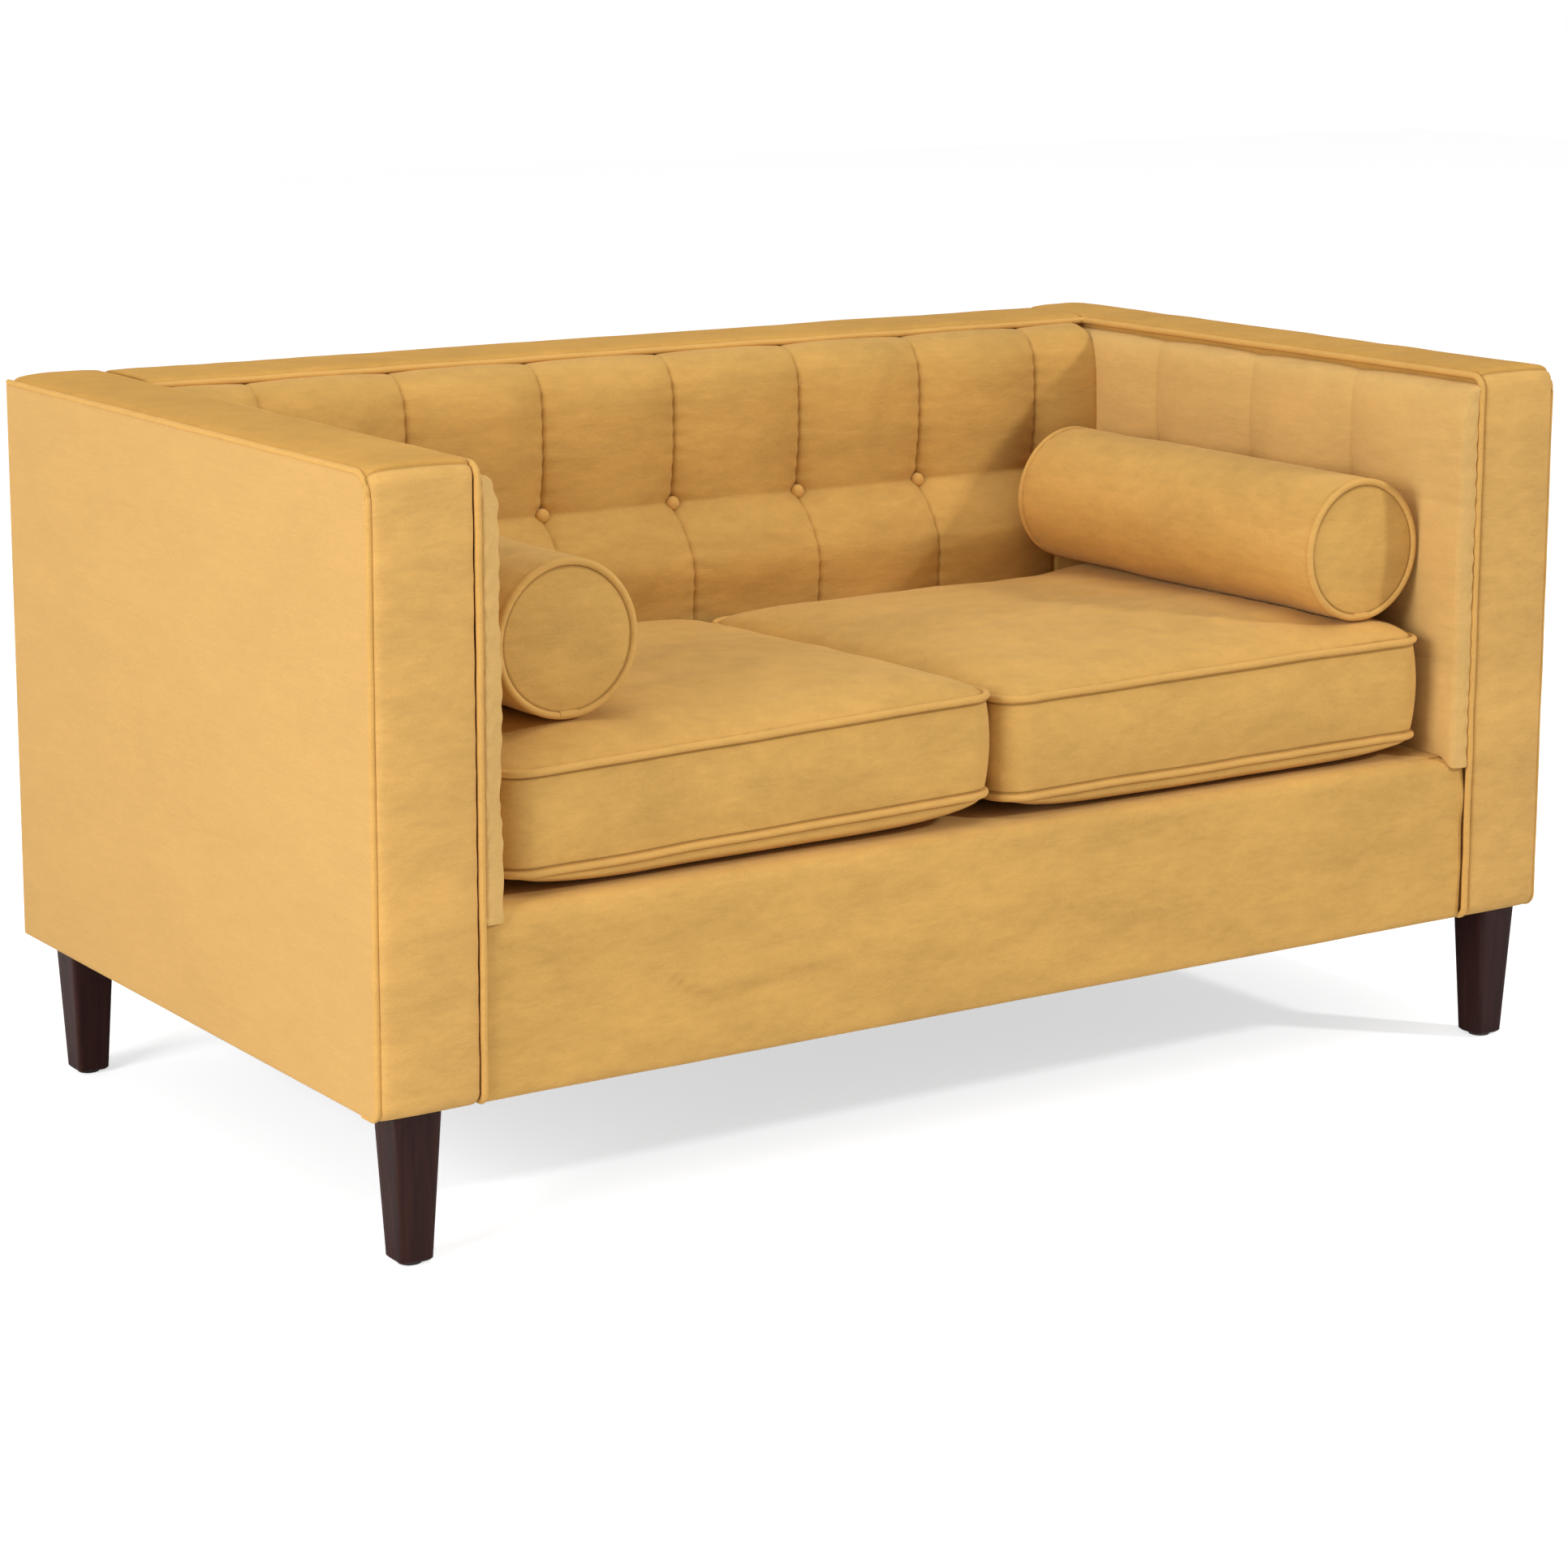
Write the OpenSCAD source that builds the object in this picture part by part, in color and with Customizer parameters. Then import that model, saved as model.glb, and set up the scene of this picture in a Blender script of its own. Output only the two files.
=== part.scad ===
// Two-seat box sofa with tufted inner faces, loose seat cushions, two bolsters
// and tapered wooden legs. Origin on the floor under the middle of the body,
// +X to the sitter's left hand side as seen from the front (right in a front
// view), +Y to the back, +Z up. Millimetres.

/* [Overall] */
// Width over the outer faces of both arms
overall_w = 1540; // [1300:10:1900]
// Depth from the arm fronts to the back's outer face
overall_d = 865; // [800:5:1050]
// Height of the arms and the back above the floor
overall_h = 800; // [720:5:960]

/* [Body] */
// Height of the body's underside above the floor
body_bottom = 156; // [110:1:200]
// Thickness of each arm, covers included
arm_t = 115; // [96:1:150]
// Thickness of the back at its cap, covers included
back_t = 127; // [100:1:160]
// Height of the seat deck above the floor
deck_z = 350; // [330:1:420]
// How far the front rail's cover stands behind the arm fronts
rail_setback = 10; // [10:1:20]

/* [Frame timber] */
// Thickness of the seat rails
rail_t = 28; // [20:1:35]
// Gap between the rails' top edge and the deck's top
rail_drop = 30; // [30:1:40]
// Thickness of the arm's inner and outer boards
board_t = 9; // [6:1:12]
// Thickness of posts, ribs and top boards
timber_t = 22; // [16:1:30]
// Height of the blocks that the legs are screwed to
block_h = 40; // [30:1:60]
// Leg of each triangular corner block
corner_leg = 70; // [50:1:90]
// Number of plywood ribs in the back
rib_count = 5; // [3:1:7]

/* [Covers and pads] */
// Thickness of the outer side and back covers
cover_t = 5; // [3:1:8]
// Thickness of the caps on top of arms and back
cap_t = 22; // [16:1:30]
// Thickness of the padding on the arm fronts
band_t = 22; // [16:1:30]
// Thickness of the front rail's padded cover
rail_cover_t = 18; // [12:1:20]
// Thickness of the deck pad on the springs
deck_t = 22; // [15:1:22]
// Thickness of the tufted pads inside the arms
arm_pad_t = 28; // [20:1:40]
// Thickness of the back pad behind the seat cushions
back_pad_low_t = 99; // [80:1:130]
// Thickness of the back pad at the row of buttons
back_pad_button_t = 43; // [30:1:60]
// Thickness of the back pad above the buttons
back_pad_high_t = 51; // [40:1:70]
// Drop from the top of arms and back to the top of the pads
pad_drop = 14; // [12:1:25]
// Thickness of the cloth under the body
dust_t = 1.5; // [1:0.5:3]

/* [Tufting] */
// Spacing of the button columns on back and arms
tuft_pitch = 180; // [150:5:210]
// Number of button columns on the back
back_columns = 7; // [5:1:7]
// Number of button columns on each arm
arm_columns = 3; // [1:1:3]
// Height of the back's buttons above the floor
back_button_z = 612; // [590:1:660]
// Height of the arm buttons above the floor
arm_button_z = 643; // [610:1:680]
// Diameter of a covered button
button_d = 16; // [12:1:24]
// Diameter of the twine that holds a button
twine_d = 2; // [1.5:0.5:3]

/* [Cords in the seams] */
// Diameter of the welt cord inside the top and down the arm fronts
inner_welt_d = 9; // [6:0.5:9]
// Diameter of the welt cord on the outer edges
outer_welt_d = 7; // [5:0.5:9]
// Diameter of the piping on cushions and bolsters
piping_d = 8; // [6:0.5:10]

/* [Seat cushions] */
// Gap between the two cushions
cushion_gap = 1.5; // [1:0.5:6]
// Gap between a cushion and the arm pad
cushion_side_gap = 15; // [4:1:30]
// Gap between a cushion and the back pad
cushion_back_gap = 2.3; // [1:0.1:6]
// Distance from the arm fronts back to the cushion's front piping
cushion_front = 30; // [20:1:60]
// Height of the cushion's lower piping above the deck
lower_seam = 20; // [16:1:30]
// Height between the lower and the upper piping
boxing_h = 106; // [80:1:140]
// Rise of the crown above the upper piping
crown_h = 33; // [15:1:45]
// Radius of the cushion's upright corners
cushion_corner_r = 34; // [20:1:60]
// Thickness of the sewn covers on cushions and bolsters
cloth_t = 2; // [1.5:0.5:3]

/* [Bolsters] */
// Diameter of a bolster
bolster_d = 166; // [120:1:200]
// Length of a bolster over its end discs
bolster_l = 545; // [400:5:560]
// Gap between the left bolster and its arm pad
bolster_gap_left = 44; // [10:1:80]
// Gap between the right bolster and its arm pad
bolster_gap_right = 4; // [2:1:80]
// Gap between the left bolster and the back pad
bolster_back_left = 0.5; // [0.5:0.5:25]
// Gap between the right bolster and the back pad
bolster_back_right = 24; // [0.5:0.5:25]

/* [Legs] */
// Width of a leg at its top
leg_top_w = 52; // [40:1:60]
// Width of a leg at its foot
leg_foot_w = 36; // [26:1:50]
// Rounding of the leg's upright edges
leg_edge_r = 3; // [1:0.5:6]
// Distance of a leg's axis from the outer face of the arm's core
leg_side = 46; // [36:1:50]
// Distance of a front leg's axis from the front of the arm's core
leg_front = 19; // [19:1:40]
// Distance of a back leg's axis from the back of the arm's core
leg_back = 51; // [30:1:80]
// Height of the glide under a leg
glide_h = 3; // [2:0.5:6]
// Diameter of the glide under a leg
glide_d = 24; // [16:1:26]

/* [Leg fixings] */
// Side of the square steel leg plate
plate_w = 44; // [40:1:50]
// Thickness of the leg plate
plate_t = 2.5; // [2:0.5:4]
// Diameter of the hanger bolt
bolt_d = 8; // [6:1:10]
// Length of the hanger bolt inside the leg
bolt_in_leg = 35; // [20:1:50]
// Length of the hanger bolt above the leg
bolt_above = 24; // [15:1:28]
// Diameter of the plate screws
screw_d = 4; // [3:0.5:5]
// Length of the plate screws in the block
screw_l = 18; // [12:1:25]
// Side of the square on which the plate screws sit
screw_pitch = 31; // [26:1:31]

/* [Springs] */
// Number of sinuous springs across the seat
spring_count = 8; // [6:1:10]
// Thickness of the spring wire
wire_d = 3.8; // [3:0.1:4.5]
// Width over a spring's bends
spring_w = 50; // [40:1:60]
// Distance between neighbouring bars of one spring
spring_pitch = 30; // [24:1:40]
// Width of a spring clip
clip_w = 20; // [16:1:26]

/* [Hidden] */
$fn = 48;

velvet = "#D6A763";
timber = "#C9A878";
plywood = "#B99566";
espresso = "#3A2320";
steel = "#8C8F94";
foam = "#EFE6C8";
black_cloth = "#26262A";

// A running gap between things that touch without being joined
touch = 0.3;
// Clearance round a bolt or a screw in its hole
hole_gap = 0.2;

half_w = overall_w / 2;
front_y = -overall_d / 2;
back_y = overall_d / 2;

// Planes of the arms: inner face, outer face of the core, hollow between boards
arm_in = half_w - arm_t;
core_out = half_w - cover_t;
core_front = front_y + band_t;
core_back = back_y - cover_t;
core_top = overall_h - cap_t;
core_base = body_bottom + dust_t;
hollow_in = arm_in + board_t;
hollow_out = core_out - board_t;
block_base = core_base + plate_t;

// Planes of the seat base
cover_front = front_y + rail_setback;
rail_front = cover_front + rail_cover_t;
back_in = back_y - back_t;
rail_top = deck_z - rail_drop;
rail_h = rail_top - core_base;
web_t = 2.5;

pad_top = overall_h - pad_drop;
pad_in = arm_in - arm_pad_t;
pad_front = front_y + band_t - 2;
pad_face = back_in - back_pad_low_t;

// Space taken by one seat cushion with its piping
cushion_in = cushion_gap / 2;
cushion_out = pad_in - cushion_side_gap;
cushion_y0 = front_y + cushion_front;
cushion_y1 = pad_face - cushion_back_gap;
cushion_z0 = deck_z + touch;
seam_low = deck_z + lower_seam;
seam_high = seam_low + boxing_h;
cushion_top = seam_high + crown_h;
piping_gap = 0.2;
piping_out = piping_d + piping_gap;

bolster_r = bolster_d / 2;
bolster_z = cushion_top + touch + bolster_r;

leg_top_z = core_base;

module box(x0, x1, y0, y1, z0, z1) {
    translate([x0, y0, z0]) cube([x1 - x0, y1 - y0, z1 - z0]);
}

// Draws its children on the right (side = 1) or mirrored to the left (side = -1)
module on_side(side) {
    if (side > 0) children();
    else mirror([1, 0, 0]) children();
}

// ---------------------------------------------------------------- seat frame

module front_rail() {
    color(timber) box(-arm_in, arm_in, rail_front, rail_front + rail_t, core_base, rail_top);
}

module back_rail() {
    color(timber) box(-arm_in, arm_in, back_in - rail_t, back_in, core_base, rail_top);
}

module side_rail(side) {
    color(timber) on_side(side)
        box(arm_in - rail_t, arm_in, rail_front + rail_t, back_in - rail_t, core_base, rail_top);
}

// Middle beam under the springs, from the front rail to the back rail
module seat_stretcher() {
    color(timber)
        box(-timber_t, timber_t, rail_front + rail_t, back_in - rail_t,
            core_base, core_base + rail_h / 2);
}

module corner_block() {
    linear_extrude(rail_h * 0.6) polygon([[0, 0], [-corner_leg, 0], [0, corner_leg]]);
}

module corner_blocks() {
    color(timber) for (side = [-1, 1]) on_side(side) {
        translate([arm_in - rail_t, rail_front + rail_t, core_base]) corner_block();
        translate([arm_in - rail_t, back_in - rail_t, core_base])
            mirror([0, 1, 0]) corner_block();
    }
}

// ------------------------------------------------------------------ arm cores

// Axes of the four legs
leg_x = core_out - leg_side;
leg_front_y = core_front + leg_front;
leg_back_y = core_back - leg_back;
leg_axes = [for (x = [-leg_x, leg_x], y = [leg_front_y, leg_back_y]) [x, y]];
screw_spots = [for (x = [-1, 1], y = [-1, 1]) [x, y] * screw_pitch / 2];

// Length of a leg block along the arm, from the core's end past the leg plate
front_block_l = leg_front_y + plate_w / 2 + 10 - core_front;
back_block_l = core_back - (leg_back_y - plate_w / 2 - 10);

module fixing_holes() {
    for (axis = leg_axes) translate([axis[0], axis[1], block_base]) {
        translate([0, 0, -1]) cylinder(d = bolt_d + 2 * hole_gap, h = bolt_above + 2);
        for (spot = screw_spots) translate([spot[0], spot[1], -1])
            cylinder(d = screw_d + 2 * hole_gap, h = screw_l + 2);
    }
}

module leg_blocks() {
    color(timber) difference() {
        for (side = [-1, 1]) on_side(side) {
            box(hollow_in, hollow_out, core_front, core_front + front_block_l,
                block_base, block_base + block_h);
            box(hollow_in, hollow_out, core_back - back_block_l, core_back,
                block_base, block_base + block_h);
        }
        fixing_holes();
    }
}

module arm_posts() {
    post_z0 = block_base + block_h;
    post_z1 = core_top - timber_t;
    color(timber) for (side = [-1, 1]) on_side(side) {
        box(hollow_in, hollow_out, core_front, core_front + 2 * timber_t, post_z0, post_z1);
        box(hollow_in, hollow_out, core_back - 2 * timber_t, core_back, post_z0, post_z1);
    }
}

module arm_boards() {
    color(plywood) for (side = [-1, 1]) on_side(side) {
        box(arm_in, hollow_in, core_front, core_back, block_base, core_top);
        box(hollow_out, core_out, core_front, core_back, block_base, core_top);
    }
}

module arm_top_boards() {
    color(timber) for (side = [-1, 1]) on_side(side)
        box(hollow_in, hollow_out, core_front, core_back, core_top - timber_t, core_top);
}

// ----------------------------------------------------------------- back frame

rib_front = back_in + web_t;

module back_ribs() {
    step = (2 * arm_in - timber_t) / (rib_count - 1);
    color(plywood) for (i = [0:rib_count - 1])
        translate([-arm_in + i * step, rib_front, core_base])
            cube([timber_t, core_back - rib_front, core_top - timber_t - core_base]);
}

module back_top_board() {
    color(timber) box(-arm_in, arm_in, rib_front, core_back, core_top - timber_t, core_top);
}

// Elastic webbing nailed across the fronts of the ribs
module back_webbing() {
    web_w = 50;
    web_step = 80;
    web_low = deck_z + 25;
    rows = floor((core_top - web_w - web_low) / web_step);
    color(black_cloth) for (i = [0:rows])
        translate([-arm_in, back_in, web_low + i * web_step]) cube([2 * arm_in, web_t, web_w]);
}

// -------------------------------------------------------------------- springs

// A clip is a steel strip bent round the spring's end bar
clip_t = 1.2;
clip_gap = 0.2;
clip_reach = 14;
spring_z = rail_top + clip_t + clip_gap;
spring_step = 2 * (arm_in - rail_t) / spring_count;
spring_xs = [for (i = [0:spring_count - 1]) (i - (spring_count - 1) / 2) * spring_step];
spring_y0 = rail_front + rail_t / 2;
spring_y1 = back_in - rail_t / 2;
spring_bars = round((spring_y1 - spring_y0) / spring_pitch);
bar_step = (spring_y1 - spring_y0) / spring_bars;
bar_half = spring_w / 2 - bar_step / 2;

// Half ring that joins two neighbouring bars
module spring_bend() {
    difference() {
        circle(d = bar_step + wire_d);
        circle(d = bar_step - wire_d);
        translate([-spring_w, -spring_w]) square([spring_w, 2 * spring_w]);
    }
}

module sinuous_spring() {
    linear_extrude(wire_d) for (i = [0:spring_bars]) {
        translate([-bar_half, i * bar_step - wire_d / 2]) square([2 * bar_half, wire_d]);
        turn = (i % 2 == 0) ? 1 : -1;
        if (i < spring_bars)
            scale([turn, 1]) translate([bar_half, (i + 0.5) * bar_step]) spring_bend();
    }
}

module seat_springs() {
    color(steel) for (x = spring_xs) translate([x, spring_y0, spring_z]) sinuous_spring();
}

// C-shaped strip, open to +Y
module spring_clip() {
    clip_top = 2 * clip_t + 2 * clip_gap + wire_d;
    back = wire_d / 2 + clip_gap;
    color(steel) translate([-clip_w / 2, 0, 0]) {
        box(0, clip_w, -back - clip_t, clip_reach - back, 0, clip_t);
        box(0, clip_w, -back - clip_t, -back, clip_t, clip_top);
        box(0, clip_w, -back, back + 1, clip_top - clip_t, clip_top);
    }
}

module spring_clips() {
    for (x = spring_xs) {
        translate([x, spring_y0, rail_top]) spring_clip();
        translate([x, spring_y1, rail_top]) mirror([0, 1, 0]) spring_clip();
    }
}

// --------------------------------------------------------------- seat covers

module seat_deck() {
    color(black_cloth) box(-arm_in, arm_in, rail_front, back_in, deck_z - deck_t, deck_z);
}

module front_rail_cover() {
    color(velvet) box(-arm_in, arm_in, cover_front, rail_front, body_bottom, deck_z);
}

// Clear squares round the leg tops in the covers under the body
module leg_windows() {
    window = leg_top_w + 4;
    for (axis = leg_axes) translate([axis[0] - window / 2, axis[1] - window / 2, 0])
        cube([window, window, block_base]);
}

module dust_cover() {
    edge = 12;
    color(black_cloth) difference() {
        box(-core_out + edge, core_out - edge, rail_front + edge, core_back - edge,
            body_bottom, core_base);
        leg_windows();
    }
}

// ----------------------------------------------------------------------- legs

module rounded_square(w, r, h) {
    for (x = [-1, 1], y = [-1, 1])
        translate([x * (w / 2 - r), y * (w / 2 - r), 0]) cylinder(r = r, h = h, $fn = 32);
}

// Square leg that tapers to its foot, with a small chamfer round the foot
module leg(axis) {
    foot_chamfer = 3;
    rim = 0.5;
    color(espresso) translate([axis[0], axis[1], 0]) difference() {
        hull() {
            translate([0, 0, glide_h])
                rounded_square(leg_foot_w - 2 * foot_chamfer, leg_edge_r, rim);
            translate([0, 0, glide_h + foot_chamfer])
                rounded_square(leg_foot_w, leg_edge_r, rim);
            translate([0, 0, leg_top_z - rim]) rounded_square(leg_top_w, leg_edge_r, rim);
        }
        translate([0, 0, leg_top_z - bolt_in_leg - 1])
            cylinder(d = bolt_d + 2 * hole_gap, h = bolt_in_leg + 2);
        translate([0, 0, glide_h - 1])
            cylinder(d = glide_pin_d + 2 * hole_gap, h = glide_pin_l + 2);
    }
}

glide_pin_d = 3;
glide_pin_l = 14;

module glides() {
    color("#2B2523") for (axis = leg_axes) translate([axis[0], axis[1], 0]) {
        cylinder(d = glide_d, h = glide_h);
        translate([0, 0, glide_h]) cylinder(d = glide_pin_d, h = glide_pin_l);
    }
}

module leg_plates() {
    color(steel) difference() {
        for (axis = leg_axes) translate([axis[0] - plate_w / 2, axis[1] - plate_w / 2, core_base])
            cube([plate_w, plate_w, plate_t]);
        for (axis = leg_axes) translate([axis[0], axis[1], core_base]) {
            translate([0, 0, -1]) cylinder(d = bolt_d + 2 * hole_gap, h = plate_t + 2);
            for (spot = screw_spots) translate([spot[0], spot[1], 0]) {
                cylinder(d = screw_d + 2 * hole_gap, h = plate_t + 1);
                screw_head(hole_gap);
            }
        }
    }
}

// Countersunk head whose flat face lies on z = 0, or its countersink with a gap
module screw_head(gap) {
    wide = 3;
    deep = 1.6;
    translate([0, 0, -gap])
        cylinder(d1 = screw_d + wide + 4 * gap, d2 = screw_d + 2 * gap, h = deep + gap);
}

module hanger_bolts() {
    color(steel) for (axis = leg_axes)
        translate([axis[0], axis[1], leg_top_z - bolt_in_leg])
            cylinder(d = bolt_d, h = bolt_in_leg + bolt_above);
}

// Screws with heads flush in the plate, so that the leg's top bears on it
module plate_screws() {
    color(steel) for (axis = leg_axes, spot = screw_spots)
        translate([axis[0] + spot[0], axis[1] + spot[1], core_base]) {
            cylinder(d = screw_d, h = plate_t + screw_l);
            screw_head(0);
        }
}

// --------------------------------------------------------------- outer covers

// Rebates in caps and bands that leave room for the outer welt
welt_room = outer_welt_d + 2 * piping_gap;

module outer_rebate() {
    for (side = [-1, 1]) on_side(side) {
        box(half_w - welt_room, half_w + 1, core_front - welt_room, back_y + 1,
            core_top - 1, core_top + welt_room);
        box(half_w - welt_room, half_w + 1, core_front - welt_room, core_front + 1,
            body_bottom - 1, core_top + welt_room);
    }
    box(-half_w, half_w, back_y - welt_room, back_y + 1, core_top - 1, core_top + welt_room);
}

module arm_outer_cover(side) {
    color(velvet) on_side(side) box(core_out, half_w, core_front, back_y, body_bottom, core_top);
}

module back_outer_cover() {
    color(velvet) box(-core_out, core_out, core_back, back_y, body_bottom, core_top);
}

module arm_front_band(side) {
    color(velvet) difference() {
        on_side(side) box(arm_in, half_w, front_y, core_front, body_bottom, core_top);
        outer_rebate();
        leg_windows();
    }
}

module arm_cap(side) {
    color(velvet) difference() {
        on_side(side) box(arm_in, half_w, front_y, back_y, core_top, overall_h);
        outer_rebate();
    }
}

module back_cap() {
    color(velvet) difference() {
        box(-arm_in, arm_in, back_in, back_y, core_top, overall_h);
        outer_rebate();
    }
}

// --------------------------------------------------------------- tufted pads

function columns(n) = [for (i = [0:n - 1]) (i - (n - 1) / 2) * tuft_pitch];
back_button_xs = columns(back_columns);
// The arm's middle column stands a little behind the middle of the depth
arm_tuft_y = -48;
arm_button_ys = [for (y = columns(arm_columns)) y + arm_tuft_y];
twine_hole = twine_d + 2 * hole_gap;
button_face_y = back_in - back_pad_button_t;

module arm_pad(side) {
    color(velvet) on_side(side) difference() {
        box(pad_in, arm_in, pad_front, back_in, deck_z, pad_top);
        for (y = arm_button_ys) translate([pad_in - 1, y, arm_button_z])
            rotate([0, 90, 0]) cylinder(d = twine_hole, h = arm_pad_t + 2);
    }
}

// Half height of the flat that the buttons pull into the back pad
button_flat = button_d / 2 + 1;

// Side outline of the back pad, thick behind the cushions and drawn in at the buttons
function back_pad_outline() = [
    [back_in, deck_z],
    [pad_face, deck_z],
    [pad_face, back_button_z - 97],
    [pad_face + 6, back_button_z - 60],
    [back_in - 0.76 * back_pad_low_t, back_button_z - 28],
    [button_face_y, back_button_z - button_flat],
    [button_face_y, back_button_z + button_flat],
    [back_in - back_pad_high_t, back_button_z + 60],
    [back_in - back_pad_high_t, pad_top - 60],
    [back_in - 0.5 * back_pad_high_t, pad_top],
    [back_in, pad_top]
];

module back_pad() {
    color(velvet) difference() {
        translate([-pad_in, 0, 0]) rotate([90, 0, 90])
            linear_extrude(2 * pad_in) polygon(back_pad_outline());
        for (x = back_button_xs) translate([x, button_face_y - 1, back_button_z])
            rotate([-90, 0, 0]) cylinder(d = twine_hole, h = back_pad_button_t + 2);
    }
}

// Domed button whose flat back lies on z = 0
module button() {
    dome_r = button_d;
    dome_h = dome_r - sqrt(dome_r * dome_r - button_d * button_d / 4);
    rim = 2;
    color(velvet) {
        cylinder(d = button_d, h = rim);
        translate([0, 0, rim]) intersection() {
            cylinder(d = button_d, h = dome_h + 1);
            translate([0, 0, dome_h - dome_r]) sphere(r = dome_r);
        }
    }
}

module back_buttons() {
    for (x = back_button_xs) translate([x, button_face_y, back_button_z])
        rotate([90, 0, 0]) button();
}

module arm_buttons() {
    for (side = [-1, 1], y = arm_button_ys) on_side(side)
        translate([pad_in, y, arm_button_z]) rotate([0, -90, 0]) button();
}

// Twines from the buttons' backs through the pads to the frame
module button_twines() {
    color(foam) {
        for (x = back_button_xs) translate([x, button_face_y, back_button_z])
            rotate([-90, 0, 0]) cylinder(d = twine_d, h = back_pad_button_t);
        for (side = [-1, 1], y = arm_button_ys) on_side(side)
            translate([pad_in, y, arm_button_z]) rotate([0, 90, 0])
                cylinder(d = twine_d, h = arm_pad_t);
    }
}

// ----------------------------------------------------------------- welt cords

module rod(a, b, d) {
    v = b - a;
    l = norm(v);
    translate(a) rotate([0, acos(v[2] / l), atan2(v[1], v[0])]) cylinder(d = d, h = l);
}

module cord_through(points, d) {
    for (i = [0:len(points) - 2]) rod(points[i], points[i + 1], d);
    for (i = [1:len(points) - 2]) translate(points[i]) sphere(d = d);
}

inner_lie = inner_welt_d / 2 + piping_gap;
outer_lie = outer_welt_d / 2 + piping_gap;

// One cord up the left arm front, round the top of the seat and down the right
module inner_welt() {
    x = arm_in - inner_lie;
    y0 = cover_front - inner_lie;
    y1 = back_in - inner_lie;
    z = pad_top + inner_lie;
    color(velvet) cord_through([
        [-x, y0, body_bottom], [-x, y0, z], [-x, y1, z],
        [x, y1, z], [x, y0, z], [x, y0, body_bottom]
    ], inner_welt_d);
}

// One cord up the left arm front, round the outer top edge and down the right
module outer_welt() {
    x = half_w - outer_lie;
    y0 = core_front - outer_lie;
    y1 = back_y - outer_lie;
    z = core_top + outer_lie;
    color(velvet) cord_through([
        [-x, y0, body_bottom], [-x, y0, z], [-x, y1, z],
        [x, y1, z], [x, y0, z], [x, y0, body_bottom]
    ], outer_welt_d);
}

// --------------------------------------------------------------- seat cushion

module slab(x0, x1, y0, y1, z, h, r) {
    for (x = [x0 + r, x1 - r], y = [y0 + r, y1 - r])
        translate([x, y, z]) cylinder(r = r, h = h, $fn = 32);
}

// Boxed cushion with a crowned top and bottom, drawn in by inset on every side
module cushion_form(inset) {
    x0 = cushion_in + piping_out + inset;
    x1 = cushion_out - piping_out - inset;
    y0 = cushion_y0 + piping_out + inset;
    y1 = cushion_y1 - piping_out - inset;
    z0 = cushion_z0 + inset;
    z1 = cushion_top - inset;
    shoulder = 20;
    plateau = 56;
    rim = 0.5;
    r = cushion_corner_r - inset;
    hull() {
        slab(x0, x1, y0, y1, seam_low, boxing_h, r);
        slab(x0 + shoulder, x1 - shoulder, y0 + shoulder, y1 - shoulder,
             z1 - crown_h * 0.3, rim, r);
        slab(x0 + plateau, x1 - plateau, y0 + plateau, y1 - plateau, z1 - rim, rim, r);
        slab(x0 + plateau, x1 - plateau, y0 + plateau, y1 - plateau, z0, rim, r);
    }
}

module seat_cushion_cover(side) {
    color(velvet) on_side(side) difference() {
        cushion_form(0);
        cushion_form(cloth_t);
    }
}

module seat_cushion_core(side) {
    color(foam) on_side(side) cushion_form(cloth_t);
}

// Quarter bend of piping from +X to +Y round the origin
module piping_bend(r) {
    rotate_extrude(angle = 90) translate([r, 0]) circle(d = piping_d);
}

module piping_ring(z) {
    r = cushion_corner_r + piping_out - piping_d / 2;
    x0 = cushion_in + piping_out + cushion_corner_r;
    x1 = cushion_out - piping_out - cushion_corner_r;
    y0 = cushion_y0 + piping_out + cushion_corner_r;
    y1 = cushion_y1 - piping_out - cushion_corner_r;
    rod([x0, y0 - r, z], [x1, y0 - r, z], piping_d);
    rod([x0, y1 + r, z], [x1, y1 + r, z], piping_d);
    rod([x0 - r, y0, z], [x0 - r, y1, z], piping_d);
    rod([x1 + r, y0, z], [x1 + r, y1, z], piping_d);
    translate([x1, y1, z]) piping_bend(r);
    translate([x0, y1, z]) rotate(90) piping_bend(r);
    translate([x0, y0, z]) rotate(180) piping_bend(r);
    translate([x1, y0, z]) rotate(270) piping_bend(r);
}

module seat_cushion_piping(side) {
    color(velvet) on_side(side) {
        piping_ring(seam_low + piping_d / 2);
        piping_ring(seam_high - piping_d / 2);
    }
}

// ------------------------------------------------------------------- bolsters

// Puts a bolster's axis along +Y from its front end
module at_bolster(side) {
    gap = side < 0 ? bolster_gap_left : bolster_gap_right;
    back = side < 0 ? bolster_back_left : bolster_back_right;
    translate([side * (pad_in - gap - bolster_r), pad_face - back - bolster_l, bolster_z])
        rotate([-90, 0, 0]) children();
}

// Radius left at a bolster's ends inside the piping
piping_seat = bolster_r - piping_d - piping_gap;

// Rings cut away at both ends, where the piping lies
module piping_seats() {
    for (z = [-1, bolster_l - piping_d - piping_gap]) translate([0, 0, z]) difference() {
        cylinder(r = bolster_r + 1, h = piping_d + piping_gap + 1, $fn = 96);
        translate([0, 0, -1]) cylinder(r = piping_seat, h = piping_d + 3, $fn = 96);
    }
}

module bolster_cover(side) {
    color(velvet) at_bolster(side) difference() {
        cylinder(r = bolster_r, h = bolster_l, $fn = 96);
        piping_seats();
        bolster_filling();
    }
}

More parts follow.
